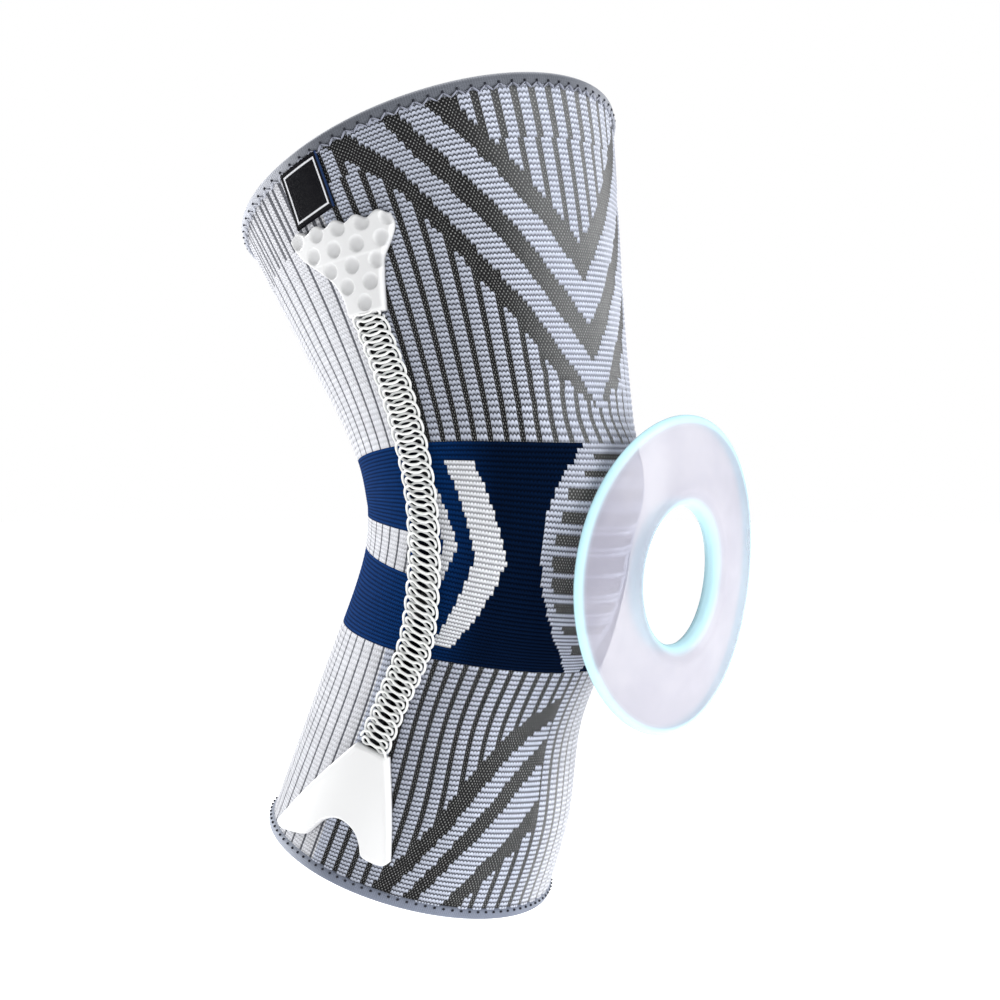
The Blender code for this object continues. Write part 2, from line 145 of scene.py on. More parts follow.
@dataclass(frozen=True)
class LegForm:
    """The form that the sleeve keeps: a slightly bent leg, with the fold above the kneecap."""

    thigh_length: float = 0.131
    calf_length: float = 0.137
    thigh_lean: float = math.radians(17.0)
    calf_lean: float = math.radians(21.0)
    bend_reach: float = 0.034
    thigh_girth: float = 0.464
    knee_girth: float = 0.305
    calf_girth: float = 0.351
    top_slant: float = 0.012
    bottom_slant: float = -0.002
    fold_rise: float = 0.008
    fold_run: float = 0.006
    fold_reach: float = 0.017
    fold_turn: float = math.radians(55.0)
    wall: float = 0.0022
    rib_rise: float = 0.0004
    axis_spare: float = 1.2
    axis_steps: int = 4001
    along: Table = (-1.00, -0.75, -0.50, -0.25, 0.00, 0.25, 0.60, 1.00)
    swell: Table = (1.00, 0.44, -0.08, -0.16, 0.00, 0.12, 0.42, 1.00)
    front: Table = (0.89, 0.99, 0.94, 1.04, 0.99, 1.02, 1.02, 0.90)
    back: Table = (0.95, 1.00, 1.04, 0.98, 1.01, 0.97, 1.06, 0.99)

    def share(self, run: Array) -> Array:
        """Distance from the knee as a share of the thigh's (+) or the calf's (-) length."""
        return np.where(run >= 0, run / self.thigh_length, run / self.calf_length)

    def axis(self, run: Array) -> tuple[Array, Array, Array]:
        """Place and lean of the leg's axis.

        The lean turns smoothly from the calf's to the thigh's inside the bend and is constant
        outside it; the place is its running sum.

        Args:
            run: Distance from the knee.

        Returns:
            The axis' y, its z, and its lean.
        """
        steps = np.linspace(-self.axis_spare * self.calf_length, self.axis_spare * self.thigh_length,
                            self.axis_steps)
        x = np.clip(steps / self.bend_reach, -1, 1)
        mean, half = (self.thigh_lean - self.calf_lean) / 2, (self.thigh_lean + self.calf_lean) / 2
        lean = mean + half * (1.5 * x - 0.5 * x**3)
        step = steps[1] - steps[0]
        y, z = (np.concatenate([[0], np.cumsum((wave(lean[1:]) + wave(lean[:-1])) / 2 * step)])
                for wave in (np.sin, np.cos))
        y -= np.interp(0, steps, y)
        z -= np.interp(0, steps, z)
        return np.interp(run, steps, y), np.interp(run, steps, z), np.interp(run, steps, lean)

    def radius(self, run: Array) -> Array:
        """Mean radius of the section: its girth over a full turn.

        Args:
            run: Distance from the knee.

        Returns:
            The radius there.
        """
        end = np.where(run >= 0, self.thigh_girth, self.calf_girth)
        swell = through(self.share(run), self.along, self.swell)
        return (self.knee_girth + (end - self.knee_girth) * swell) / (2 * math.pi)

    def point(self, turn: Array, run: Array, proud: Array | float = 0.0) -> Array:
        """Points over the sleeve's outer face.

        A point lies on an oval round the axis, as deep as the section's front or back share of
        the radius says, raised by the fold and by proud, and set square to the axis' lean.

        Args:
            turn: Angle from the kneecap, in radians.
            run: Distance from the knee along the axis.
            proud: Height over the middle of the ribs.

        Returns:
            An array of points, with x, y and z last.
        """
        turn, run, proud = np.broadcast_arrays(turn, run, proud)
        radius = self.radius(run)
        front = through(self.share(run), self.along, self.front)
        back = through(self.share(run), self.along, self.back)
        depth = np.where(np.cos(turn) >= 0, front, back) * radius
        wrapped = (turn + math.pi) % (2 * math.pi) - math.pi
        fold = (self.fold_rise * bell((run - self.fold_run) / self.fold_reach)
                * bell(wrapped / self.fold_turn))
        side = -(radius + fold + proud) * np.sin(turn)
        fore = -(depth + fold + proud) * np.cos(turn)
        slant = np.where(run >= 0, self.top_slant, self.bottom_slant)
        y, z, lean = self.axis(run + slant * self.share(run)**2 * np.cos(turn))
        return np.stack([side, y + fore * np.cos(lean), z - fore * np.sin(lean)], -1)

    def beside(self, turn: float | Array, run: float | Array, across: Array, along: Array,
               tilt: float = 0.0) -> tuple[Array, Array]:
        """Turn and run of places given by distances across (to the front) and up from a point.

        Args:
            turn: The point's turn.
            run: The point's run.
            across: Distances to the front.
            along: Distances up.
            tilt: Angle by which both directions are turned.

        Returns:
            Turn and run of the places.
        """
        a = across * math.cos(tilt) - along * math.sin(tilt)
        b = across * math.sin(tilt) + along * math.cos(tilt)
        return turn - a / self.radius(run + b), run + b


LEG = LegForm()


class Value:
    """A shader socket that takes part in sums: each operator adds its Math node."""

    def __init__(self, shader: "Shader", socket: bpy.types.NodeSocket) -> None:
        """Keep the socket and the shader that it belongs to."""
        self.shader, self.socket = shader, socket

    def math(self, operation: str, *others: "Value | float") -> "Value":
        """The Math node of an operation on this value and others."""
        return self.shader.node("ShaderNodeMath", {"operation": operation}, [self, *others])

    __add__ = __radd__ = partialmethod(math, "ADD")
    __mul__ = __rmul__ = partialmethod(math, "MULTIPLY")
    __sub__ = partialmethod(math, "SUBTRACT")
    __pow__ = partialmethod(math, "POWER")
    size = partialmethod(math, "ABSOLUTE")
    part = partialmethod(math, "FRACT")

    def __rsub__(self, other: float) -> "Value":
        """A number less this value."""
        return self.shader.node("ShaderNodeMath", {"operation": "SUBTRACT"}, [other, self])

    def step(self, low: float, high: float) -> "Value":
        """Smooth step from 0 at low to 1 at high."""
        settings = {"interpolation_type": "SMOOTHSTEP"}
        return self.shader.node("ShaderNodeMapRange", settings,
                                {"Value": self, "From Min": low, "From Max": high})


class Shader:
    """A material's node tree, with its Principled shader."""

    def __init__(self, name: str, fixed: dict[str, Any]) -> None:
        """Start a material.

        Args:
            name: The material's name.
            fixed: Values of the shader's sockets that are the same all over.
        """
        self.material = bpy.data.materials.new(name)
        self.material.use_nodes = True
        self.tree = self.material.node_tree
        self.surface = self.tree.nodes["Principled BSDF"]
        for socket, value in fixed.items():
            self.surface.inputs[socket].default_value = value

    def node(self, kind: str, settings: dict[str, Any], inputs: Any = (), out: int | str = 0) -> Value:
        """Any node: its settings first, then the values or links of its sockets.

        Args:
            kind: The node's type.
            settings: Its properties.
            inputs: A list in the order of its sockets, or a dict by their names.
            out: The output that is handed on.

        Returns:
            The output as a value.
        """
        made = self.tree.nodes.new(kind)
        for key, value in settings.items():
            setattr(made, key, value)
        pairs = inputs.items() if isinstance(inputs, dict) else enumerate(inputs)
        for key, value in pairs:
            if isinstance(value, Value):
                self.tree.links.new(value.socket, made.inputs[key])
            else:
                made.inputs[key].default_value = value
        return Value(self, made.outputs[out])

    def uv(self, name: str) -> tuple[Value, Value]:
        """The two coordinates of one of the piece's own UV maps."""
        place = self.node("ShaderNodeUVMap", {"uv_map": name})
        across = self.node("ShaderNodeSeparateXYZ", {}, [place], 0)
        return across, Value(self, across.socket.node.outputs[1])

    def attribute(self, name: str, out: str = "Fac") -> Value:
        """An attribute of the piece, as a number or as a Color."""
        return self.node("ShaderNodeAttribute", {"attribute_name": name}, (), out)

    def noise(self, scale: float, detail: float = 2.0) -> Value:
        """Soft noise over the piece's own coordinates."""
        place = self.node("ShaderNodeTexCoord", {}, (), "Object")
        return self.node("ShaderNodeTexNoise", {}, {"Vector": place, "Scale": scale, "Detail": detail})

    def mix(self, share: Value | float, first: Any, second: Any) -> Value:
        """Colour between two others."""
        inputs = {0: share, 6: self.colour(first), 7: self.colour(second)}
        return self.node("ShaderNodeMix", {"data_type": "RGBA"}, inputs, 2)

    def shade(self, colour: Any, factor: Value) -> Value:
        """A colour made darker or lighter by a factor."""
        return self.node("ShaderNodeVectorMath", {"operation": "SCALE"},
                         {0: colour if isinstance(colour, Value) else colour[:3], "Scale": factor})

    @staticmethod
    def colour(value: Any) -> Any:
        """A colour with its fourth number, or a value as it is."""
        return value if isinstance(value, Value) else (*value, 1.0)

    def feed(self, **sockets: Value) -> None:
        """Links values to the shader's sockets; an underscore stands for a space."""
        for name, value in sockets.items():
            self.tree.links.new(value.socket, self.surface.inputs[name.replace("_", " ")])

    def bump(self, height: Value, distance: float) -> None:
        """Feeds a relief to the shader's Normal."""
        sockets = {"Height": height, "Distance": distance, "Strength": 1.0}
        self.feed(Normal=self.node("ShaderNodeBump", {}, sockets))


@dataclass(frozen=True)
class KnitFinish:
    """Yarn stitches: rounded beads in rows over gaps of painted shade, and a net of specks in charcoal.
    """

    roughness: float = 0.82
    foot: float = 0.15
    crown: float = 0.97
    lift: float = 0.30
    notch: float = 0.14
    side: float = 0.30
    soft: float = 0.12
    shaded: float = 0.52
    bright: float = 0.80
    fibre_scale: float = 2600.0
    fibre_tone: float = 0.24
    speck: Colour = (0.47, 0.48, 0.475)
    speck_share: float = 0.85
    relief: float = 0.00030

    def make(self) -> Material:
        """The material.

        In a stitch's own frame, x runs across its wale, -1 to 1, and y up its course, 0 to 1,
        lifted at the wale's sides by lift x^2, so that a row is a chain of small arches. A bead
        fills it between foot + notch (1 - x^2) and crown, with a painted highlight towards its top
        and painted shade towards the wale's sides; outside it, painted shade in the gaps
        multiplies the yarn's colour by its gap level, the attribute's alpha.
        Charcoal has specks where cos 2 pi u cos 2 pi v nears 1 instead.

        Returns:
            The material.
        """
        shader = Shader("knit_yarn", {"Roughness": self.roughness, "Specular IOR Level": 0.02})
        across, up = shader.uv("stitch")
        yarn = shader.attribute("yarn", "Color")
        gap = shader.attribute("yarn", "Alpha")
        net = shader.attribute("net")
        x = (across.part() - 0.5) * 2.0
        bow = x * x
        y = (up + self.lift * bow).part()
        foot = self.foot + self.notch * (1.0 - bow)
        bead = (y - foot).step(-self.soft, self.soft) * (self.crown - y).step(-self.soft, self.soft)
        fibre = shader.noise(self.fibre_scale)
        # painted light: a bead is brighter towards its top, with painted shade at the wale's sides
        lit = self.shaded + (1.0 - self.shaded) * y.step(self.foot, self.bright)
        lit = (lit * (1.0 - self.side * bow)).math("MAXIMUM", gap)
        # painted shade in the gaps: outside a bead the colour falls to the gap level
        light = (gap + (lit - gap) * bead) * (1.0 - self.fibre_tone / 2 + self.fibre_tone * fibre)
        turned = 2.0 * math.pi
        lattice = (across * turned).math("COSINE") * (up * turned).math("COSINE")
        specks = lattice.math("MAXIMUM", 0.0) ** 2.0 * net * fibre.step(0.25, 0.60)
        plain = shader.shade(yarn, net + (1.0 - net) * light)
        shader.feed(Base_Color=shader.mix(specks * self.speck_share, plain, self.speck))
        shader.bump(bead * (1.0 - 0.7 * net) + 0.4 * specks + 0.12 * fibre, self.relief)
        return shader.material


@dataclass(frozen=True)
class LiningFinish:
    """Inside of the knit: plain pale loops."""

    colour: Colour = (0.60, 0.61, 0.66)

    def make(self) -> Material:
        """The material: rows of loops as the sum of two triangle waves along the stitches.

        Returns:
            The material.
        """
        shader = Shader("knit_inside", {"Roughness": 0.9, "Specular IOR Level": 0.2})
        across, up = shader.uv("stitch")
        loops = (across.part() - 0.5).size() + (up.part() - 0.5).size()
        shader.feed(Base_Color=shader.shade(self.colour, 1.15 - 0.45 * loops))
        shader.bump(1.0 - loops, 0.0003)
        return shader.material


@dataclass(frozen=True)
class BandFinish:
    """Folded elastic band: smooth, with fine ribs across it."""

    name: str
    colour: Colour
    # colour of the painted light on the band's lip
    lip: Colour
    roughness: float = 0.75

    def make(self) -> Material:
        """The material: fine ribs, soft patches, and painted light on its lip by the piece's attribute.

        Returns:
            The material.
        """
        shader = Shader(self.name, {"Roughness": self.roughness, "Sheen Weight": 0.05,
                                    "Specular IOR Level": 0.15})
        across, up = shader.uv("stitch")
        rib = (across.part() - 0.5).size() * 2.0
        weave = (up.part() - 0.5).size() * 2.0
        patches = shader.noise(90.0, 3.0)
        tone = (0.85 + 0.20 * rib) * (0.80 + 0.40 * patches) * (0.90 + 0.10 * weave)
        # painted light: the lip attribute mixes the lip colour in
        plain = shader.mix(shader.attribute("lip"), self.colour, self.lip)
        shader.feed(Base_Color=shader.shade(plain, tone))
        shader.bump(rib + 0.4 * weave, 0.00010)
        return shader.material


@dataclass(frozen=True)
class LabelFinish:
    """Woven satin label: black, with a thin pale border line and a blue folded side."""

    black: Colour = (0.003, 0.003, 0.005)
    line: Colour = (0.72, 0.73, 0.76)
    fold: Colour = (0.015, 0.035, 0.10)
    fold_from: float = 0.965
    fold_to: float = 0.980
    inset: float = 0.095
    half_line: float = 0.013
    threads: Pair = (130.0, 190.0)

    def make(self) -> Material:
        """The material: the line lies where the nearest edge is the inset away.

        Returns:
            The material.
        """
        shader = Shader("label_weave", {"Roughness": 0.55, "Specular IOR Level": 0.05})
        across, up = shader.uv("OFBake")
        to_side = 0.5 - (across - 0.5).size()
        to_end = 0.5 - (up - 0.5).size()
        nearest = to_side.math("MINIMUM", to_end)
        line = 1.0 - (nearest - self.inset).size().step(self.half_line, self.half_line * 1.6)
        folded = across.step(self.fold_from, self.fold_to)
        warp, weft = self.threads
        thread = (across * warp).part().math("PINGPONG", 0.5) + (up * weft).part()
        plain = shader.mix(folded, self.black, self.fold)
        shader.feed(Base_Color=shader.mix(line, shader.shade(plain, 0.7 + 0.5 * thread), self.line))
        shader.bump(thread * 0.5 + line, 0.00008)
        return shader.material


@dataclass(frozen=True)
class PlasticFinish:
    """Soft white moulded plastic or coated wire, with painted shade in its hollows, underneath and on
    lower strands.
    """

    name: str
    colour: Colour
    painted_shade: Colour
    roughness: float
    coat: float
    grain: float

    def make(self) -> Material:
        """The material: painted shade by the piece's depth attribute, fine grain, patchy gloss.

        Returns:
            The material.
        """
        shader = Shader(self.name, {"Coat Weight": self.coat, "Coat Roughness": 0.35,
                                    "Specular IOR Level": 0.45})
        patches = shader.noise(120.0, 3.0)
        grain = shader.noise(2200.0)
        # painted shade: the depth attribute mixes the shade colour in
        shader.feed(Base_Color=shader.mix(shader.attribute("depth"), self.colour, self.painted_shade),
                    Roughness=self.roughness + 0.15 * (patches - 0.5))
        shader.bump(grain, self.grain)
        return shader.material


@dataclass(frozen=True)
class GelFinish:
    """Milky silicone gel: half clear, with a painted aqua glow in its thin rims."""

    milk: Colour = (0.44, 0.43, 0.52)
    cloud: Colour = (0.55, 0.54, 0.62)
    # colour of the painted glow at the rims
    rim: Colour = (0.56, 0.88, 0.97)

    def make(self) -> Material:
        """The material: cloudy noise for the milk, the rim attribute for a painted glow and clearness.

        Returns:
            The material.
        """
        shader = Shader("gel_milk", {"Roughness": 0.22, "Coat Weight": 0.15, "Coat Roughness": 0.08,
                                     "Specular IOR Level": 0.25, "IOR": 1.41})
        rim = shader.attribute("rim")
        cloud = shader.noise(28.0, 3.0).step(0.35, 0.70)
        milk = shader.mix(cloud, self.milk, self.cloud)
        shader.feed(Base_Color=shader.mix(rim, milk, self.rim), Alpha=0.50 + 0.40 * rim)
        shader.bump(shader.noise(60.0, 1.0), 0.0006)
        return shader.material


def grid_faces(rows: int, cols: int, closed: bool) -> Array:
    """Quads of a grid, row after row; closed joins its last column to its first.

    Args:
        rows: Rows of points.
        cols: Points in a row.
        closed: Whether each row closes on itself.

    Returns:
        Four point numbers for each face.
    """
    i, j = np.meshgrid(np.arange(rows - 1), np.arange(cols if closed else cols - 1), indexing="ij")
    a = i * cols + j
    b = i * cols + (j + 1) % cols
    return np.stack([a, b, b + cols, a + cols], -1).reshape(-1, 4)


def grid_uv(rows: int, cols: int, closed: bool, width: float = 1.0, height: float = 1.0) -> Array:
    """UV corners of a grid's quads; a closed grid's last column runs on past its end.

    Args:
        rows: Rows of points.
        cols: Points in a row.
        closed: Whether each row closes on itself.
        width: Span across.
        height: Span up.

    Returns:
        Two numbers for each corner of each face.
    """
    last = cols if closed else cols - 1
    i, j = np.meshgrid(np.arange(rows - 1), np.arange(last), indexing="ij")
    u = np.stack([j, j + 1, j + 1, j], -1) / last * width
    v = np.stack([i, i, i + 1, i + 1], -1) / (rows - 1) * height
    return np.stack([u, v], -1).reshape(-1, 2)


def add_object(name: str, data: bpy.types.ID) -> bpy.types.Object:
    """A new object of some data, at the origin of the scene.

    Args:
        name: Its name.
        data: Its mesh, camera or light.

    Returns:
        The object.
    """
    item = bpy.data.objects.new(name, data)
    bpy.context.scene.collection.objects.link(item)
    return item


@dataclass
class Piece:
    """A mesh piece from arrays, before it becomes an object."""

    name: str
    points: Array
    faces: Array
    maps: dict[str, Array]
    slot: str
    replaces: tuple[str, ...]

    def build(self, material: Material, colours: dict[str, Array] | None = None,
              numbers: dict[str, Array] | None = None) -> bpy.types.Object:
        """Makes the object, which rides on the part's one body.

        Args:
            material: Its finish.
            colours: Colour attributes by name, four numbers for each face.
            numbers: Number attributes by name, one for each point or for each face.

        Returns:
            The object.
        """
        mesh = bpy.data.meshes.new(self.name)
        corners = self.faces.shape[1]
        mesh.vertices.add(len(self.points.reshape(-1, 3)))
        mesh.vertices.foreach_set("co", self.points.astype(np.float32).ravel())
        mesh.loops.add(self.faces.size)
        mesh.loops.foreach_set("vertex_index", self.faces.astype(np.int32).ravel())
        mesh.polygons.add(len(self.faces))
        mesh.polygons.foreach_set("loop_start", np.arange(len(self.faces), dtype=np.int32) * corners)
        mesh.polygons.foreach_set("use_smooth", np.ones(len(self.faces), bool))
        mesh.update(calc_edges=True)
        for name, values in self.maps.items():
            mesh.uv_layers.new(name=name).uv.foreach_set("vector", values.astype(np.float32).ravel())
        for name, values in (colours or {}).items():
            rows = values.astype(np.float32).ravel()
            mesh.attributes.new(name, "FLOAT_COLOR", "FACE").data.foreach_set("color", rows)
        for name, values in (numbers or {}).items():
            domain = "POINT" if values.size == len(mesh.vertices) else "FACE"
            layer = mesh.attributes.new(name, "FLOAT", domain)
            layer.data.foreach_set("value", values.astype(np.float32).ravel())
        mesh.materials.append(material)
        item = add_object(self.name, mesh)
        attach(item, "root")
        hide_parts(*self.replaces)
        mesh.calc_loop_triangles()
        LOG.info("%s: %d triangles", self.name, len(mesh.loop_triangles))
        return item


def closed_piece(name: str, points: Array, slot: str, node: str,
                 stitches: Pair | None = None, turned: bool = False) -> Piece:
    """A piece from rows of points, each of which closes on itself.

    Args:
        name: The piece's name.
        points: The grid of points.
        slot: The finish's slot.
        node: The CAD node that it stands for.
        stitches: How many stitches lie across and up the grid, where it needs that map.
        turned: Whether the faces have to look the other way.

    Returns:
        The piece, with its maps.
    """
    rows, cols = points.shape[:2]
    maps = {"stitch": grid_uv(rows, cols, True, *stitches)} if stitches else {}
    maps["OFBake"] = grid_uv(rows, cols, True)
    faces = grid_faces(rows, cols, True)
    if turned:
        faces = faces[:, ::-1]
        maps = {key: uv.reshape(-1, 4, 2)[:, ::-1].reshape(-1, 2) for key, uv in maps.items()}
    return Piece(name, points, faces, maps, slot, (node,))


class Yarn(IntEnum):
    """The chart's stitches, in the order of the rows of KnitTube's relief table."""

    LIGHT, DARK, NAVY, LINE, BACK, RUNG, RING, ARROW = range(8)


@dataclass
class KnitChart:
    """Which yarn each stitch has, worked out from the pattern's lines on the sleeve.

    Tables give turn in degrees and run in millimetres; end_cover and warp_centre are metres.
    Band edges count from the band's curve in pitches. The yarn colours are light, white,
    charcoal and its copy with painted light for the front, navy and its copy with painted shade
    for the front, line, rung and arrow.
    """

    wales: int = 280
    courses: tuple[int, ...] = (0, 50, 98, 162)
    jog_level: float = 111.0
    rib: int = 5
    rib_light: int = 3
    light_share: float = 0.67
    top_lines_from: float = 104.0
    end_cover: float = 0.0030
    warp_centre: float = -0.013
    warp: float = 0.40
    late_warp: float = 0.35
    back_from: float = 88.0
    band_pitch: float = 13.3
    band_turn: Table = (0, 10, 20, 30, 40, 50, 60, 75, 90)
    band_run: Table = (17, 28, 41, 55.5, 70, 87.5, 108, 128, 150)
    stop_turn: Table = (0, 6.7, 13.5, 20)
    stop_run: Table = (23.6, 25.9, 29.7, 34)
    band_edges: Table = (-0.45, 0.42, 1.50, 2.42, 3.55, 4.45)
    calf_turn: Table = (0, 10, 20, 33, 42, 50, 56, 70)
    calf_run: Table = (57, 63.5, 72, 88, 103.5, 120.3, 131.5, 160)
    calf_edges: Table = (-0.45, 0.55, 1.45, 2.3, 3.8, 4.9)
    calf_pitch: float = 9.0
    calf_widening: float = 0.11
    calf_stop: float = -1.0
    navy_top: float = 14.6
    navy_bottom: float = -42.4
    strip_top: float = -8.6
    strip_bottom: float = -19.4
    ring_run: Table = (-41.6, -25.2, -15.6, -7.6, 0.2, 7.4, 14.6)
    ring_turn: Table = (5.6, 21.4, 28.4, 30.4, 30.0, 24.9, 14.5)
    rung_run: Table = (-33.2, -26.8, -21.1, -15.8, -10.8, -5.5, -0.6, 4.2, 8.0, 11.8)
    rung_turn: Table = (5.5, 14.2, 20.2, 23.1, 24.4, 25.1, 23.9, 22.0, 16.1, 10.4)
    rung_half: Table = (1.6, 1.5, 1.5, 1.5, 1.5, 1.5, 1.4, 1.1, 0.9, 0.8)
    arrows: tuple[tuple[Pair, ...], ...] = (
        ((71.1, 14.7), (58.9, 13.7), (44.1, -11.4), (59.5, -41.4), (68.1, -42.9), (57.7, -11.1)),
        ((84.0, 17.0), (80.0, 14.0), (65.8, -9.0), (76.0, -36.0), (84.0, -40.0), (72.0, -10.6)),
    )
    yarn_colours: tuple[Colour, ...] = (
        (0.585, 0.625, 0.74), (0.80, 0.81, 0.86), (0.014, 0.014, 0.015), (0.118, 0.121, 0.124),
        (0.003, 0.032, 0.14), (0.001, 0.007, 0.028), (0.13, 0.135, 0.155), (0.055, 0.055, 0.055),
        (0.84, 0.86, 0.91),
    )
    smooth_gap: float = 0.40

    def level(self, course: Array) -> Array:
        """Front level at a place counted in courses, which lie closer in the knee band."""
        low, high = self.ends()
        return np.interp(course, self.courses, (low, self.navy_bottom * MM, self.navy_top * MM, high))

    def ends(self) -> Pair:
        """Runs of the knit's lower and upper edge, under the bands."""
        return -LEG.calf_length + self.end_cover, LEG.thigh_length - self.end_cover

    def place(self, turn: Array, level: Array) -> Array:
        """Run of a point whose course crosses the front at level.

        The courses bow away from the kneecap's middle towards the back, most in the first
        third of the way to each end, and stay level a little longer towards the ends: run = u +
        warp (1 - cos turn) u (1 - u)^2 + late warp (1 - cos turn) u^2 (1 - u), with u the share
        of that way and the last turn held to a quarter round.

        Args:
            turn: Angle from the kneecap, in radians.
            level: Run at the front, in metres.

        Returns:
            The run, in metres.
        """
        end = np.where(level >= self.warp_centre, LEG.thigh_length, -LEG.calf_length)
        u = (level - self.warp_centre) / (end - self.warp_centre)
        bowed = u + self.warp * (1 - np.cos(turn)) * u * (1 - u)**2
        held = np.minimum(np.abs(turn), math.pi / 2)
        bowed = bowed + self.late_warp * (1 - np.cos(held)) * u**2 * (1 - u)
        return self.warp_centre + (end - self.warp_centre) * bowed

    def wale_turn(self, wale: Array) -> Array:
        """Turn at a place counted in wales: a rib's light wales are wider than its dark ones.

        Args:
            wale: Places counted in wales from the back.

        Returns:
            Their turns, in radians.
        """
        rib = np.floor(wale / self.rib)
        inner = wale / self.rib - rib
        spread = np.interp(inner, (0, self.rib_light / self.rib, 1), (0, self.light_share, 1))
        return (rib + spread) * self.rib / self.wales * 2 * math.pi - math.pi

    def centres(self) -> tuple[Array, Array, Array]:
        """Turn in degrees, run and front level in millimetres of every stitch.

        Returns:
            Three arrays, with a row for each course and a column for each wale.
        """
        turn = np.degrees(self.wale_turn(np.arange(self.wales) + 0.5))
        level = self.level(np.arange(self.courses[-1]) + 0.5)
        run = self.place(np.radians(turn)[None, :], level[:, None])
        level = np.broadcast_to(level[:, None], run.shape)
        return np.broadcast_to(turn, run.shape), run / MM, level / MM

    def stitches(self) -> Array:
        """The yarn of every stitch, as places in the list of yarns.

        Ribs are three light wales and two dark ones. Diagonal bands cross them on thigh and
        calf, parallel to one curve each side of the front's middle. The knee has a navy band
        with a light ring, a ladder inside it, two arrowheads and a pale strip at the back.

        Returns:
            The chart, with a row for each course and a column for each wale.
        """
        turn, run, level = self.centres()
        front = np.abs(turn)
        wale = np.arange(self.wales) + ((level > self.jog_level) & (front < self.back_from))
        behind = front > self.back_from
        chart = np.where(wale % self.rib < self.rib_light, Yarn.LIGHT, Yarn.DARK)
        thin = (wale % self.rib == self.rib - 1) | ((wale % self.rib == 1) & (run > self.top_lines_from))
        plain = np.where(thin, Yarn.LINE, Yarn.BACK)
        chart = np.where(behind, plain, chart)
        above = (run - np.interp(front, self.band_turn, self.band_run)) / self.band_pitch
        chart = self.bands(chart, above, self.band_edges,
                           ~behind & (run > np.interp(front, self.stop_turn, self.stop_run)))
        pitch = self.calf_pitch + self.calf_widening * front
        below = (-run - np.interp(front, self.calf_turn, self.calf_run)) / pitch
        chart = self.bands(chart, below, self.calf_edges, ~behind & (run < 0) & (turn > self.calf_stop))
        knee = (level < self.navy_top) & (level > self.navy_bottom)
        ring = front < np.interp(run, self.ring_run, self.ring_turn)
        rungs = front < np.interp(level, self.rung_run, self.rung_turn)
        away = (np.abs(level[..., None] - np.array(self.rung_run)) - np.array(self.rung_half)).min(-1)
        chart = np.where(knee, Yarn.NAVY, chart)
        for outline in self.arrows:
            chart = np.where(knee & inside(front, run, outline), Yarn.ARROW, chart)
        strip = behind & (level < self.strip_top) & (level > self.strip_bottom)
        chart = np.where(strip, plain, chart)
        chart = np.where(knee & ring, Yarn.RING, chart)
        return np.where(knee & rungs & (away < 0), Yarn.RUNG, chart)

    @staticmethod
    def bands(chart: Array, across: Array, edges: Table, where: Array) -> Array:
        """Lays bands over a chart: dark first, then light, in turn between the edges.

        Args:
            chart: The yarn of every stitch.
            across: Distance from the bands' curve, in pitches.
            edges: Where bands begin and end, in pitches.
            where: The stitches that may change.

        Returns:
            The chart with its bands.
        """
        for number, (low, high) in enumerate(zip(edges, edges[1:])):
            yarn = Yarn.DARK if number % 2 == 0 else Yarn.LIGHT
            chart = np.where(where & (across > low) & (across <= high), yarn, chart)
        return chart

    def colours(self, chart: Array) -> Array:
        """Colour of every stitch and, as a fourth number, how light the painted shade in the gaps
        round its yarn is.

        Towards the front, painted light makes charcoal lighter and painted shade makes navy darker;
        far, past the front's middle, painted light lightens all. The light yarn has painted shade
        round 58 degrees of turn and is a little darker on the calf. The gaps' painted shade is
        fainter far, in front, at the back, and in navy and arrows. The random draws give every
        stitch and every course a tone of its own.

        Args:
            chart: The yarn of every stitch.

        Returns:
            Four numbers for each stitch.
        """
        turn, run, _ = self.centres()
        # painted light: charcoal grows lighter towards the front, less on the calf
        front_light_share = (ease(np.abs(turn), 40, 6) * np.where(run < 0, 0.30, 1.0))[..., None]
        # painted light: all grows lighter far, past the front's middle
        far = ease(turn, 5, -25)[..., None]
        calf = (run < 0)[..., None]
        light, white, charcoal, charcoal_painted_lit, navy, navy_painted_shade, line, rung, arrow = np.array(self.yarn_colours)
        # painted shade on the light yarn round 58 degrees of turn; a little darker on the calf
        tone = 1.08 - 0.20 * bell((np.abs(turn) - 58) / 36)[..., None] - 0.07 * calf
        shades = {
            Yarn.LIGHT: mixed(light, white, (0.25 + 0.55 * calf) * far) * tone,
            Yarn.DARK: mixed(charcoal, charcoal_painted_lit, front_light_share) + far * (0.10 + 0.14 * calf),
            # painted shade: navy darkens towards the front
            Yarn.NAVY: mixed(navy, navy_painted_shade, ease(np.abs(turn), 80, 46)[..., None]),
            Yarn.LINE: line + 0.05 * ease(np.abs(turn), 92, 125)[..., None],
            Yarn.BACK: white * (0.88 - 0.12 * ease(np.abs(turn), 100, 135)[..., None]),
            Yarn.RUNG: rung,
            Yarn.RING: light * 0.95,
            Yarn.ARROW: arrow,
        }
        colour = np.zeros((*chart.shape, 3))
        for yarn, shade in shades.items():
            colour = np.where((chart == yarn)[..., None], shade, colour)
        random = np.random.default_rng(7)
        spread = 1 + 0.10 * (random.random((*chart.shape, 1)) - 0.5)
        courses = 1 + 0.06 * (random.random((chart.shape[0], 1, 1)) - 0.5)
        # gap level: how light the painted shade in the gaps is
        gap = 0.12 + 0.55 * np.maximum(far, 0.55 * front_light_share)
        gap = gap + 0.72 * ease(np.abs(turn), 78, 96)[..., None]
        gap = np.where(((chart == Yarn.NAVY) | (chart == Yarn.ARROW))[..., None], self.smooth_gap, gap)
        return np.concatenate([np.clip(colour * spread * courses, 0, 1), gap], -1)

    def net(self, chart: Array) -> Array:
        """1 for stitches of charcoal, whose yarn lies as a net of specks, 0 for the others."""
        return ((chart == Yarn.DARK) | (chart == Yarn.RUNG)).astype(float)


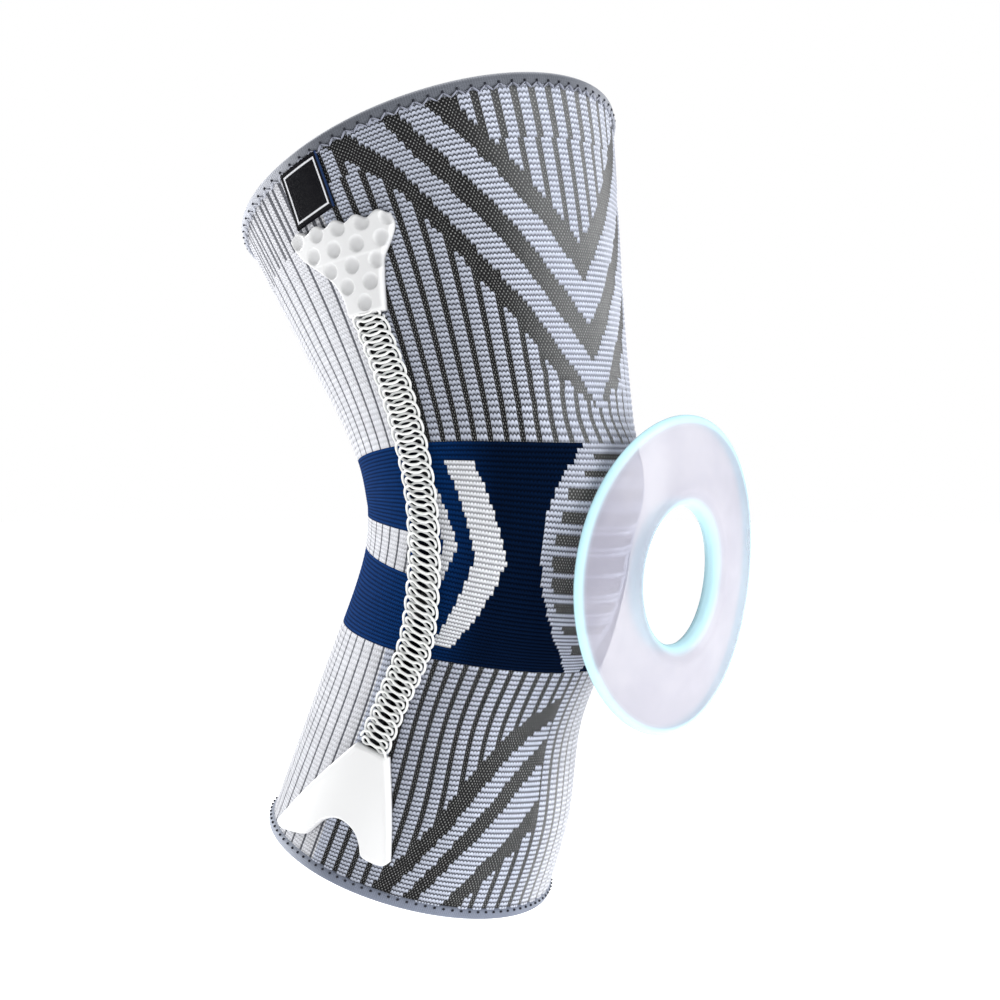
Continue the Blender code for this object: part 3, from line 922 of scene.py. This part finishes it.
@dataclass
class KnitTube:
    """The knit tube: outer face stitch by stitch, in zones, and a plain inner face."""

    chart: KnitChart
    stay: "SideStay"
    rows_per_course: int = 3
    cols_per_wale: int = 2
    inner_rows: int = 170
    inner_cols: int = 224
    coil_shade: float = 0.05
    yarn_relief: tuple[Table, ...] = (
        (0.38, 0.13, 0.10), (-0.36, 0.06, 0.05), (-0.02, 0.05, 0.10), (-0.10, 0.05, 0.08),
        (0.12, 0.06, 0.03), (-0.22, 0.06, 0.05), (0.16, 0.10, 0.12), (0.10, 0.04, 0.12),
    )
    zones: tuple[tuple[str, int, int], ...] = (
        ("knit_lower_calf", 0, 25),
        ("knit_upper_calf", 25, 50),
        ("knit_knee_band", 50, 98),
        ("knit_lower_thigh", 98, 130),
        ("knit_upper_thigh", 130, 162),
    )
    pucker_table: tuple[Table, ...] = (
        (16.0, 30.0, 9.0, 3.0, 1.3),
        (26.0, 34.0, 10.0, 3.4, 1.1),
        (-14.0, 31.0, 9.0, 3.0, 1.2),
        (34.0, 26.0, 12.0, 2.6, 0.8),
    )

    def relief(self, chart: Array) -> Array:
        """Height of every point of the stitch grid over the sleeve's middle face.

        Inside a stitch the height is its yarn's relief with a bead along the wale's middle;
        on a wale's or course's edge it is the mean of both sides, less the groove there. The
        table gives each yarn's relief, bead and groove in millimetres.

        Args:
            chart: The yarn of every stitch.

        Returns:
            A height for each point of the grid.
        """
        table = np.array(self.yarn_relief) * MM
        rise, bead, groove = (table[chart][..., k] for k in range(3))
        rows, cols = self.rows_per_course, self.cols_per_wale
        padded = np.concatenate([rise[:1], rise, rise[-1:]])
        height = np.empty((chart.shape[0] * rows + 1, chart.shape[1] * cols))
        edge = (padded[:-1] + padded[1:]) / 2
        cut = np.concatenate([groove, groove[-1:]])
        height[::rows, 1::cols] = edge - cut
        height[::rows, ::cols] = (edge + np.roll(edge, 1, 1)) / 2 - cut
        for row in range(1, rows):
            height[row::rows, 1::cols] = rise + bead
            height[row::rows, ::cols] = (rise + np.roll(rise, 1, 1)) / 2 - bead
        return height

    def grid(self) -> tuple[Array, Array]:
        """Turn of the grid's columns and run of its points.

        Returns:
            The columns' turns and the points' runs.
        """
        chart = self.chart
        cols = chart.wales * self.cols_per_wale
        rows = chart.courses[-1] * self.rows_per_course + 1
        turn = chart.wale_turn(np.arange(cols) / self.cols_per_wale)
        level = chart.level(np.arange(rows) / self.rows_per_course)
        return turn, chart.place(turn[None, :], level[:, None])

    def puckers(self, turn: Array, run: Array) -> Array:
        """Small gathers: rounded ridges that lie across the leg above the kneecap.

        Args:
            turn: The points' turns.
            run: The points' runs.

        Returns:
            Their rise, in metres.
        """
        rise = np.zeros(run.shape)
        for at_turn, at_run, half_turn, half_run, height in self.pucker_table:
            slope = 0.10 * (np.degrees(turn) - at_turn)
            rise += height * MM * (bell((np.degrees(turn) - at_turn) / half_turn)
                                   * bell((run / MM - at_run - slope) / half_run))
        return rise

    def build(self) -> None:
        """Makes the zones and the inner face."""
        chart = self.chart.stitches()
        turn, run, _ = self.chart.centres()
        shade = np.where(self.stay.covers(np.radians(turn), run * MM), self.coil_shade, 1.0)
        colour = self.chart.colours(chart)
        colour[..., :3] *= shade[..., None]
        net = self.chart.net(chart) * (shade == 1.0)
        turn, run = self.grid()
        height = self.relief(chart) + self.puckers(turn[None, :], run)
        points = LEG.point(turn[None, :], run, height)
        material = KnitFinish().make()
        each = np.ones((self.rows_per_course, self.cols_per_wale))
        for name, first, last in self.zones:
            rows = slice(first * self.rows_per_course, last * self.rows_per_course + 1)
            stitches = (self.chart.wales, last - first)
            piece = closed_piece(name, points[rows], "knit", "sleeve_body", stitches)
            faces = np.kron(colour[first:last], each[..., None])
            piece.build(material, {"yarn": faces}, {"net": np.kron(net[first:last], each)})
        self.build_inside()

    def build_inside(self) -> None:
        """The inner face, a wall's thickness in, facing the leg."""
        turn = circle(self.inner_cols) - math.pi
        level = np.linspace(*self.chart.ends(), self.inner_rows)
        run = self.chart.place(turn[None, :], level[:, None])
        points = LEG.point(turn[None, :], run, -LEG.wall)
        stitches = (self.chart.wales, self.chart.courses[-1])
        piece = closed_piece("knit_inside", points, "knit", "sleeve_body", stitches, turned=True)
        piece.build(LiningFinish().make())


@dataclass
class EdgeBand:
    """A folded band round one opening, with the row of stitches that sews it on."""

    name: str
    node: str
    end: float
    band: BandFinish
    thread: BandFinish
    cover: BandFinish
    pitch: float
    painted_light_from: float
    hole_share: float
    zigzag: bool
    height: float = 0.0041
    out: float = 0.0011
    deep: float = 0.0027
    square: float = 0.62
    around: int = 448
    section: int = 28
    thread_steps: int = 7
    hole_length: float = 0.0005
    hole_width: float = 0.00056
    cover_width: float = 0.00055

    def build(self) -> None:
        """Makes the band: a rounded box section, |cos|^square by |sin|^square, carried round."""
        angle = circle(self.section, 1)
        half = (self.out + self.deep) / 2
        across = np.sign(np.cos(angle)) * np.abs(np.cos(angle))**self.square * half
        along = np.sign(np.sin(angle)) * np.abs(np.sin(angle))**self.square * self.height / 2
        way = math.copysign(1.0, self.end)
        turn = circle(self.around) - math.pi
        run = self.end - way * self.height / 2 + way * along
        points = LEG.point(turn[None, :], run[:, None], (self.out - half + across)[:, None])
        piece = closed_piece(self.name, points, "hem", self.node, (self.around, self.section), way < 0)
        # painted light on the band's lip, at the opening's edge, and by turn
        lip = ease(way * (run - self.end) / self.height, self.painted_light_from, self.painted_light_from + 0.25)
        lip = np.maximum(lip[:, None], self.painted_light_share(turn)[None, :])
        weld(piece.build(self.band.make(), numbers={"lip": lip}))
        self.build_stitches(way)

    @staticmethod
    def painted_light_share(turn: Array) -> Array:
        """How much painted light the band has at a turn: more behind the stay and past the front."""
        return np.maximum(0.8 * ease(np.abs(turn), math.radians(75), math.radians(105)),
                          0.5 * ease(turn, 0.0, -0.6))

    def build_stitches(self, way: float) -> None:
        """The cover stitch: a row of dark holes in the band and, where the band has one, a zigzag of
        thread below it.

        Every thread is a spindle: its half width is width sqrt(1 - t^2), with t from -1 to 1
        along it.

        Args:
            way: 1 at the upper opening, -1 at the lower one.
        """
        girth = LEG.thigh_girth if way > 0 else LEG.calf_girth
        count = round(girth / self.pitch)
        at = circle(count)
        hole = self.end - way * self.hole_share * self.height
        self.row("_holes", self.thread, at, hole, (0.0, self.hole_length), self.hole_width,
                 (self.out, self.out))
        foot = self.end - way * (self.height + 0.0011)
        peak = hole - way * 0.0003
        if not self.zigzag:
            return
        for side, word in ((-1, "right"), (1, "left")):
            reach = (side * girth / count / 4, (peak - foot) / 2)
            self.row("_zigzag_" + word, self.cover, at + side * math.pi / count / 2, (peak + foot) / 2,
                     reach, self.cover_width, (0.0006, self.out + 0.0001))

    def row(self, name: str, finish: BandFinish, at: Array, run: float, reach: Pair,
            width: float, rise: Pair) -> None:
        """One row of threads round the leg.

        Args:
            name: What follows the band's name.
            finish: The thread's finish.
            at: Turns of the threads' middles.
            run: Their run.
            reach: Half of a thread's span round the leg and along it.
            width: Half of its thickness.
            rise: How proud its start and its end are.
        """
        steps = self.thread_steps
        t = np.linspace(-1, 1, steps)[:, None]
        angle = circle(steps - 1, 1)
        fat = np.sqrt(np.clip(1 - t**2, 0, 1))
        across = width * fat * np.cos(angle) + reach[0] * t
        along = reach[1] * t + 0 * angle
        proud = np.interp(t, (-1, 1), rise) + width * fat * np.sin(angle)
        turn, level = LEG.beside(at[:, None, None], run, across[None], along[None])
        points = LEG.point(turn, level, np.broadcast_to(proud[None], turn.shape))
        first = np.arange(len(at)) * steps**2
        faces = (grid_faces(steps, steps, False)[None] + first[:, None, None]).reshape(-1, 4)
        maps = {"stitch": np.tile(grid_uv(steps, steps, False, 1, 8), (len(at), 1))}
        piece = Piece(self.name + name, points, faces, maps, "hem", (self.node,))
        wrapped = np.mod(turn + math.pi, 2 * math.pi) - math.pi
        # painted light on the threads, by turn as on the band
        pale = np.broadcast_to(self.painted_light_share(wrapped), points.shape[:-1])
        weld(piece.build(finish.make(), numbers={"lip": pale}))


def weld(item: bpy.types.Object) -> None:
    """Joins the seams and poles of a piece's mesh.

    Args:
        item: The piece's object.
    """
    work = bmesh.new()
    work.from_mesh(item.data)
    bmesh.ops.remove_doubles(work, verts=work.verts, dist=1e-6)
    bmesh.ops.recalc_face_normals(work, faces=work.faces)
    work.to_mesh(item.data)
    work.free()


def slab_piece(name: str, place: tuple[Array, Array], base: Array | float, thick: Array, slot: str,
               node: str) -> Piece:
    """A solid over the knit between two grids of points that match, with a wall round their edge.

    Args:
        name: The piece's name.
        place: Turn and run of the grid's points.
        base: How proud its underside is.
        thick: Its thickness.
        slot: The finish's slot.
        node: The CAD node that it stands for.

    Returns:
        The piece; its top's UVs fill the square and the rest keeps to the edge.
    """
    lower, upper = LEG.point(*place, base), LEG.point(*place, base + thick)
    rows, cols = lower.shape[:2]
    sheet = grid_faces(rows, cols, False)
    edge = np.concatenate([np.arange(cols), np.arange(2, rows + 1) * cols - 1,
                           np.arange(rows * cols - 2, (rows - 1) * cols - 1, -1),
                           np.arange(rows - 2, 0, -1) * cols])
    after = np.roll(edge, -1)
    total = rows * cols
    walls = np.stack([edge, after, after + total, edge + total], -1)
    faces = np.concatenate([sheet[:, ::-1], sheet + total, walls])
    v, u = np.meshgrid(close_spaced(rows), close_spaced(cols), indexing="ij")
    place = np.stack([u, v], -1).reshape(-1, 2)
    uv = np.concatenate([place, place])[faces].reshape(-1, 2)
    points = np.concatenate([lower.reshape(-1, 3), upper.reshape(-1, 3)])
    return Piece(name, points, faces, {"OFBake": uv}, slot, (node,))


def close_spaced(count: int) -> Array:
    """Shares from 0 to 1, close together at both ends."""
    return (1 - np.cos(np.linspace(0, math.pi, count))) / 2


def rounded(distance: Array, radius: float) -> Array:
    """Height share of a rim that is a quarter round of that radius."""
    return np.sqrt(np.clip(1 - (1 - np.clip(distance / radius, 0, 1))**2, 0, 1))


def rim_share(u: Array, v: Array, wide: Array | float, high: float, radius: float) -> Array:
    """Height share of a slab whose four edges are rounded, over its shares across and up."""
    return (rounded(np.minimum(u, 1 - u) * wide, radius)
            * rounded(np.minimum(v, 1 - v) * high, radius))


@dataclass
class SideLabel:
    """The small woven label that hangs from the top band."""

    width: float = 0.0195
    height: float = 0.0195
    thick: float = 0.0008
    turn: float = math.radians(88.3)
    skew: float = -0.10
    hem: float = 0.0036
    gap: float = 0.0003
    lift: float = 0.0005
    rim: float = 0.0004
    steps: int = 56

    def head(self) -> float:
        """Run of the label's upper edge, at the band."""
        return LEG.thigh_length - self.hem - self.gap

    def foot(self) -> float:
        """Run of the label's lower edge."""
        return self.head() - self.height

    def build(self) -> None:
        """Makes the label: a slab over the knit, its corners lifting a little, rim rounded."""
        v, u = close_spaced(self.steps)[::-1, None], close_spaced(self.steps)[None, :]
        across, down = (u - 0.5) * self.width, v * self.height
        place = LEG.beside(self.turn, self.head(), across + self.skew * down, -down)
        base = LEG.rib_rise + self.gap + self.lift * v**3 * np.abs(2 * u - 1)**2
        rim = rim_share(u, v, self.width, self.height, self.rim)
        thick = self.thick * (0.3 + 0.7 * rim)
        piece = slab_piece("woven_label", place, base, thick, "label", "side_label")
        piece.build(LabelFinish().make())


@dataclass
class SideStay:
    """The stay: a dimpled plate on top, a footed plate below, two interlaced coils between."""

    label: SideLabel
    thick: float = 0.0032
    seat: float = 0.0004
    rim: float = 0.0013
    label_clearance: float = 0.0012
    foot_clearance: float = 0.0033
    bow_up: Table = (0.00, 0.12, 0.26, 0.41, 0.54, 0.65, 0.83, 1.00)
    bow_turn: Table = (77.2, 75.2, 73.2, 77.0, 80.8, 82.2, 82.6, 84.2)
    upper_width: float = 0.0425
    upper_height: float = 0.0325
    upper_tilt: float = math.radians(-11.0)
    upper_steps: tuple[int, int] = (150, 130)
    upper_up: Table = (0.00, 0.25, 0.40, 0.55, 0.72, 0.88, 1.00)
    upper_rear: Table = (0.18, 0.21, 0.27, 0.38, 0.52, 0.60, 0.63)
    upper_fore: Table = (0.17, 0.19, 0.21, 0.24, 0.33, 0.385, 0.37)
    scallops: int = 5
    scallop_rise: float = 0.0009
    scallop_fade: int = 6
    dimple_rows: int = 5
    dimple_pitch: float = 0.0093
    dimple_row_rise: float = 0.0066
    dimple_first: Pair = (0.0008, 0.0038)
    dimple_drift: float = -0.0011
    dimple_radius: float = 0.0029
    dimple_depth: float = 0.0011
    step_up: float = 0.0198
    step_rise: float = 0.00025
    step_soft: float = 0.0003
    lower_width: float = 0.054
    lower_height: float = 0.0440
    lower_neck: float = 0.0140
    lip_rise: float = 0.00022
    lower_steps: tuple[int, int] = (110, 150)
    foot_across: Table = (-0.620, -0.560, -0.420, -0.300, -0.245, -0.175, -0.080,
                                      0.010, 0.090, 0.145, 0.180, 0.240, 0.335, 0.375)
    foot_drop: Table = (0.97, 1.00, 0.955, 0.90, 0.82, 0.70, 0.635,
                                    0.635, 0.68, 0.76, 0.83, 0.85, 0.845, 0.79)
    coil_pitch: float = 0.0052
    coil_wire: float = 0.00049
    coil_rise: float = 0.0024
    coil_fine: int = 5
    coil_sides: int = 8
    coil_bare: Pair = (-0.0046, 0.0068)
    coil_lean: float = 0.15
    coil_loop: tuple[Table, ...] = (
        (6.15, -2.60, 0.00), (6.00, -1.30, 0.25), (5.30, 0.00, 0.45), (4.40, 0.60, 0.55),
        (3.30, 1.00, 0.60), (1.60, 0.45, 0.60), (0.00, 0.33, 0.60), (-1.60, 0.42, 0.60),
        (-3.30, 1.10, 0.50), (-4.50, 0.80, 0.25), (-4.95, -0.25, 0.00), (-4.35, -1.15, -0.30),
        (-3.20, -1.25, -0.50), (-1.60, -0.50, -0.60), (0.00, -0.33, -0.60), (1.60, -0.45, -0.60),
        (3.30, -1.00, -0.60), (4.40, -0.60, -0.55), (5.30, 0.00, -0.45), (6.00, 1.30, -0.25),
    )

    def upper_foot(self) -> float:
        """Run of the upper plate's lower end, whose rear corner stops under the label.

        Returns:
            The run, in metres.
        """
        corner = self.upper_width * self.upper_rear[-1]
        reach = self.upper_height * math.cos(self.upper_tilt) - corner * math.sin(self.upper_tilt)
        return self.label.foot() - self.label_clearance - reach

    def lower_head(self) -> float:
        """Run of the lower plate's upper end."""
        return -LEG.calf_length + self.label.hem + self.foot_clearance + self.lower_height

    def turn(self, share: Array) -> Array:
        """Turn of the stay's middle line at a share of the coils' length, held to its ends."""
        return np.radians(through(np.asarray(share, float), self.bow_up, self.bow_turn))

    def build(self) -> None:
        """Makes both plates and both coils."""
        # each finish's second colour is its painted shade
        plastic = PlasticFinish("stay_plastic", (0.78, 0.785, 0.79), (0.50, 0.505, 0.515),
                                roughness=0.45, coat=0.08, grain=0.00002).make()
        self.build_upper(plastic)
        self.build_lower(plastic)
        wire = PlasticFinish("stay_wire", (0.82, 0.83, 0.82), (0.74, 0.75, 0.75),
                             roughness=0.32, coat=0.2, grain=0.00001).make()
        self.build_coils(wire)

    def build_upper(self, material: Material) -> None:
        """The upper plate: waisted sides, scalloped top, a low step, and round dimples.

        Its edges follow two tables; the top adds a cosine for each scallop, faded in with a
        power of the height. A dimple is a bell of its radius, cut from the thickness.

        Args:
            material: Its finish.
        """
        v, u = close_spaced(self.upper_steps[0])[:, None], close_spaced(self.upper_steps[1])[None, :]
        rear = -self.upper_width * through(v, self.upper_up, self.upper_rear)
        fore = self.upper_width * through(v, self.upper_up, self.upper_fore)
        across = mixed(rear, fore, u)
        up = (v * self.upper_height
              - v**self.scallop_fade * self.scallop_rise * np.cos(2 * math.pi * self.scallops * u))
        dent = np.zeros(across.shape)
        for row in range(self.dimple_rows):
            for k in range(row + 1):
                x = self.dimple_first[0] + row * self.dimple_drift + (k - row / 2) * self.dimple_pitch
                y = self.dimple_first[1] + row * self.dimple_row_rise
                away = np.hypot(across - x, up - y) / self.dimple_radius
                dent = np.maximum(dent, self.dimple_depth * np.clip(1 - away**4, 0, 1)**0.8)
        step = self.step_rise * ease(up, self.step_up - self.step_soft, self.step_up + self.step_soft)
        rim = rim_share(u, v, fore - rear, self.upper_height, self.rim)
        thick = self.thick * (0.35 + 0.65 * rim) + (step - dent) * rim
        place = LEG.beside(self.turn(1.0), self.upper_foot(), across, up, self.upper_tilt)
        # painted shade over all of the top, deeper in the dimples
        painted_shade = 0.35 + 0.45 * dent / self.dimple_depth
        self.build_plate("dimpled_plate", "stay_upper_plate", material, place, thick, painted_shade)

    def build_lower(self, material: Material) -> None:
        """The lower plate: straight sides from a narrow head to two feet with an arch between.

        Its foot is a smooth curve through a table; every row is mixed between it and the head.

        Args:
            material: Its finish.
        """
        v, u = close_spaced(self.lower_steps[0])[:, None], close_spaced(self.lower_steps[1])[None, :]
        shares = np.linspace(0, 1, len(self.foot_drop))
        foot_across = self.lower_width * through(u, shares, self.foot_across)
        foot_up = -self.lower_height * through(u, shares, self.foot_drop)
        head = self.lower_neck * (u - 0.5)
        across = mixed(foot_across, head, v)
        up = foot_up * (1 - v)
        wide = np.abs(across[:, -1] - across[:, 0])[:, None]
        rim = rim_share(u, v, wide, self.lower_height * 0.8, self.rim)
        lip = self.lip_rise * bell(np.minimum(u, 1 - u) * wide / self.rim - 1.4)
        thick = self.thick * (0.35 + 0.65 * rim) + lip * rim
        place = LEG.beside(self.turn(0.0), self.lower_head(), across, up)
        self.build_plate("footed_plate", "stay_lower_plate", material, place, thick, 0 * rim)

    def build_plate(self, name: str, node: str, material: Material, place: tuple[Array, Array],
                    thick: Array, painted_shade: Array) -> None:
        """A plate over the knit: its underside has full painted shade, and its top as much as said.

        Args:
            name: The piece's name.
            node: The CAD node that it stands for.
            material: Its finish.
            place: Turn and run of its points.
            thick: Its thickness.
            painted_shade: How much painted shade its top has, from 0 to 1.
        """
        piece = slab_piece(name, place, LEG.rib_rise + self.seat, thick, "stay", node)
        piece.build(material, numbers={"depth": np.concatenate([np.ones(painted_shade.size), painted_shade.ravel()])})

    def build_coils(self, material: Material) -> None:
        """Two flattened coils that loop through each other, one the other's mirror half a turn on.

        Laid flat, a turn follows a table of points: a wide bow on one side, two strands side by
        side across the middle, and a small loop on the other side. A smooth curve goes through
        them, turn after turn, and a round wire follows it in a frame of its tangent and the
        surface, closed to a point at both ends.

        Args:
            material: Their finish.
        """
        low, high = self.lower_head(), self.upper_foot()
        turns = round((high - low) / self.coil_pitch)
        loop = np.array(self.coil_loop) * MM
        line = np.concatenate([loop + (0, self.coil_pitch * k, 0) for k in range(turns)])
        way = np.concatenate([[0], np.cumsum(np.linalg.norm(np.diff(line, axis=0), axis=1))])
        count = (len(line) - 1) * self.coil_fine + 1
        fine = np.interp(np.arange(count) / self.coil_fine, np.arange(len(line)), way)
        across, up, depth = (through(fine, way, line[:, k]) for k in range(3))
        sides = circle(self.coil_sides)
        for name, mirror in (("coil_fore", 1.0), ("coil_rear", -1.0)):
            run = low + self.coil_pitch * (0.62 - 0.25 * mirror) + up - self.coil_lean * mirror * across
            turn, level = LEG.beside(self.turn((run - low) / (high - low)), run, mirror * across, 0.0)
            rise = LEG.rib_rise + self.coil_rise + depth
            middle = LEG.point(turn, level, rise)
            above = LEG.point(turn, level, rise + MM) - middle
            ahead = np.gradient(middle, axis=0)
            ahead /= np.linalg.norm(ahead, axis=1, keepdims=True)
            side = np.cross(ahead, above)
            side /= np.linalg.norm(side, axis=1, keepdims=True)
            over = np.cross(side, ahead)
            thick = np.full((len(middle), 1, 1), self.coil_wire)
            thick[[0, -1]] = 0
            section = side[:, None] * np.cos(sides)[:, None] + over[:, None] * np.sin(sides)[:, None]
            points = middle[:, None] + thick * section
            piece = closed_piece(name, points, "spring", "stay_spring")
            # painted shade on the strands that lie lower, under the crossing ones
            lower_strand_shade = np.clip(0.5 - depth / (1.2 * MM), 0, 1)
            weld(piece.build(material, numbers={"depth": np.repeat(lower_strand_shade, self.coil_sides)}))

    def covers(self, turn: Array, run: Array) -> Array:
        """Whether places on the knit, in radians and metres, lie in the shade under the coils.

        Args:
            turn: The places' turns.
            run: The places' runs.

        Returns:
            True where one does.
        """
        low, high = self.lower_head(), self.upper_foot()
        aside = (turn - self.turn((run - low) / (high - low))) * LEG.radius(run)
        return (aside > self.coil_bare[0]) & (aside < self.coil_bare[1]) & (run > low) & (run < high)


@dataclass
class GelRing:
    """The oval ring of gel, thick round its hole and thin at its rim, leaning on the kneecap."""

    width: float = 0.0985
    height: float = 0.116
    hole_width: float = 0.0385
    hole_height: float = 0.0500
    thick: float = 0.0090
    aside: float = 0.0280
    drop: float = -0.0235
    nod: float = math.radians(6.0)
    dish: float = 0.0050
    reach: Table = (0.00, 0.02, 0.06, 0.20, 0.48, 0.80, 0.95, 0.985, 1.00)
    front: Table = (0.05, 0.26, 0.42, 0.62, 0.50, 0.30, 0.18, 0.11, 0.02)
    back: Table = (0.05, 0.18, 0.28, 0.38, 0.36, 0.28, 0.18, 0.11, 0.02)
    around: int = 224
    section: int = 36

    def build(self) -> None:
        """Makes the ring: its section's front and back follow a table from hole to rim."""
        around = circle(self.around)
        share = close_spaced(self.section)
        reach = np.concatenate([share, share[::-1]])[:, None]
        front = np.interp(share, self.reach, self.front)
        back = np.interp(share, self.reach, self.back)
        level = np.concatenate([-front, back[::-1]])[:, None] * self.thick
        x = (self.hole_width + (self.width - self.hole_width) * reach) / 2 * np.cos(around)
        w = (self.hole_height + (self.height - self.hole_height) * reach) / 2 * np.sin(around)
        y = level + self.dish * (x / (self.width / 2))**2
        depth = y * math.cos(self.nod) - w * math.sin(self.nod)
        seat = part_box("gel_pad")[0][1] - depth.min()
        points = np.stack([self.aside + x, seat + depth, self.drop + w * math.cos(self.nod)
                           + y * math.sin(self.nod)], -1)
        piece = closed_piece("gel_ring", np.concatenate([points, points[:1]]), "gel", "gel_pad")
        # painted aqua glow, and less clearness, by the hole and at the outer rim
        edge = np.maximum(ease(reach, 0.14, 0.02), ease(reach, 0.89, 0.965)) * np.ones(self.around)
        rim = np.concatenate([edge, edge[:1]])
        made = piece.build(GelFinish().make(), numbers={"rim": rim})
        weld(made)


@dataclass
class Studio:
    """Camera, soft lights, pale floor and white surroundings."""

    azimuth: float = math.radians(-48.0)
    distance: float = 1.2
    metres_per_pixel: float = 0.000365
    origin_pixel: Pair = (501.4, 510.0)
    picture: float = 1000.0
    sensor: float = 36.0
    floor_drop: float = 0.030

    def way(self, right: float, up: float, back: float) -> Array:
        """A direction from shares of the picture's right, up and towards the camera.

        Args:
            right: Share to the right.
            up: Share up.
            back: Share to the camera.

        Returns:
            The direction as x, y and z.
        """
        across = np.array([math.cos(self.azimuth), math.sin(self.azimuth), 0.0])
        toward = np.array([math.sin(self.azimuth), -math.cos(self.azimuth), 0.0])
        return right * across + up * np.array([0.0, 0.0, 1.0]) + back * toward

    def camera(self) -> None:
        """The camera at the photograph's angle, level, framed as the photograph is."""
        data = bpy.data.cameras.new("camera")
        data.sensor_width = self.sensor
        data.lens = self.distance / self.metres_per_pixel / self.picture * self.sensor
        data.clip_end = 50.0
        item = add_object("camera", data)
        right = (self.picture / 2 - self.origin_pixel[0]) * self.metres_per_pixel
        up = (self.origin_pixel[1] - self.picture / 2) * self.metres_per_pixel
        item.location = self.way(right, up, self.distance)
        item.rotation_euler = (math.radians(90.0), 0.0, self.azimuth)
        bpy.context.scene.camera = item

    def light(self, name: str, right: float, up: float, back: float, size: float, power: float,
              colour: Colour = (1.0, 1.0, 1.0)) -> None:
        """A square soft light at a place given as way() gives it, aimed at the knee.

        Args:
            name: Its name.
            right: Its place to the right.
            up: Its place up.
            back: Its place towards the camera.
            size: Its edge.
            power: Its watts.
            colour: Its colour.
        """
        data = bpy.data.lights.new(name, "AREA")
        data.size = size
        data.energy = power
        data.color = colour
        item = add_object(name, data)
        place = self.way(right, up, back)
        item.location = place
        item.rotation_euler = Vector(-place).to_track_quat("-Z", "Y").to_euler()

    def floor(self) -> None:
        """A wide pale floor under the sleeve."""
        shader = Shader("pale_floor", {"Base Color": (0.95, 0.95, 0.95, 1.0), "Roughness": 0.9,
                                       "Emission Color": (1.0, 1.0, 1.0, 1.0), "Emission Strength": 0.75,
                                       "Specular IOR Level": 0.1})
        level = CAD_BOX[0][2] - self.floor_drop
        reach = 20.0
        mesh = bpy.data.meshes.new("floor")
        mesh.from_pydata([(-reach, -reach, level), (reach, -reach, level), (reach, reach, level),
                          (-reach, reach, level)], [], [(0, 1, 2, 3)])
        mesh.materials.append(shader.material)
        add_object("floor", mesh)

    def world(self) -> None:
        """White surroundings: full white where seen, softer as light."""
        world = bpy.data.worlds.new("white")
        world.use_nodes = True
        bpy.context.scene.world = world
        tree = world.node_tree
        sky = tree.nodes["Background"]
        sky.inputs["Color"].default_value = (1.0, 1.0, 1.0, 1.0)
        path = tree.nodes.new("ShaderNodeLightPath")
        strength = tree.nodes.new("ShaderNodeMapRange")
        strength.inputs["To Min"].default_value = 0.34
        strength.inputs["To Max"].default_value = 1.0
        tree.links.new(path.outputs["Is Camera Ray"], strength.inputs["Value"])
        tree.links.new(strength.outputs[0], sky.inputs["Strength"])

    def build(self) -> None:
        """Makes the camera, the surroundings and the lights."""
        self.camera()
        self.world()
        self.floor()
        self.light("back_left", -0.9, 0.35, -0.55, 0.5, 14.0)
        self.light("right_front", 0.9, 0.15, 0.35, 0.5, 6.5)
        self.light("over", -0.1, 1.1, 0.5, 0.7, 4.0)
        bpy.context.scene.view_settings.view_transform = "Standard"


def main() -> None:
    """Builds the studio, then every piece in order."""
    logging.basicConfig(level=logging.INFO)
    Studio().build()
    label = SideLabel()
    stay = SideStay(label)
    KnitTube(KnitChart(), stay).build()
    # pale is the painted light on the top band and its threads; the bottom band's second colour is its
    # painted light
    pale, grey, dark = (0.56, 0.58, 0.64), (0.125, 0.135, 0.160), (0.022, 0.024, 0.035)
    cover = BandFinish("top_cover", (0.27, 0.285, 0.35), pale)
    EdgeBand("top_band", "top_hem", LEG.thigh_length, BandFinish("top_elastic", grey, pale),
             BandFinish("top_holes", dark, dark), cover, pitch=0.0056, painted_light_from=-0.27, hole_share=0.72,
             zigzag=True).build()
    lower = BandFinish("bottom_elastic", (0.20, 0.225, 0.29), (0.40, 0.43, 0.50))
    EdgeBand("bottom_band", "bottom_hem", -LEG.calf_length, lower, BandFinish("bottom_holes", dark, dark),
             cover, pitch=0.0036, painted_light_from=-0.20, hole_share=0.80, zigzag=False).build()
    label.build()
    stay.build()
    GelRing().build()


if __name__ == "__main__":
    main()
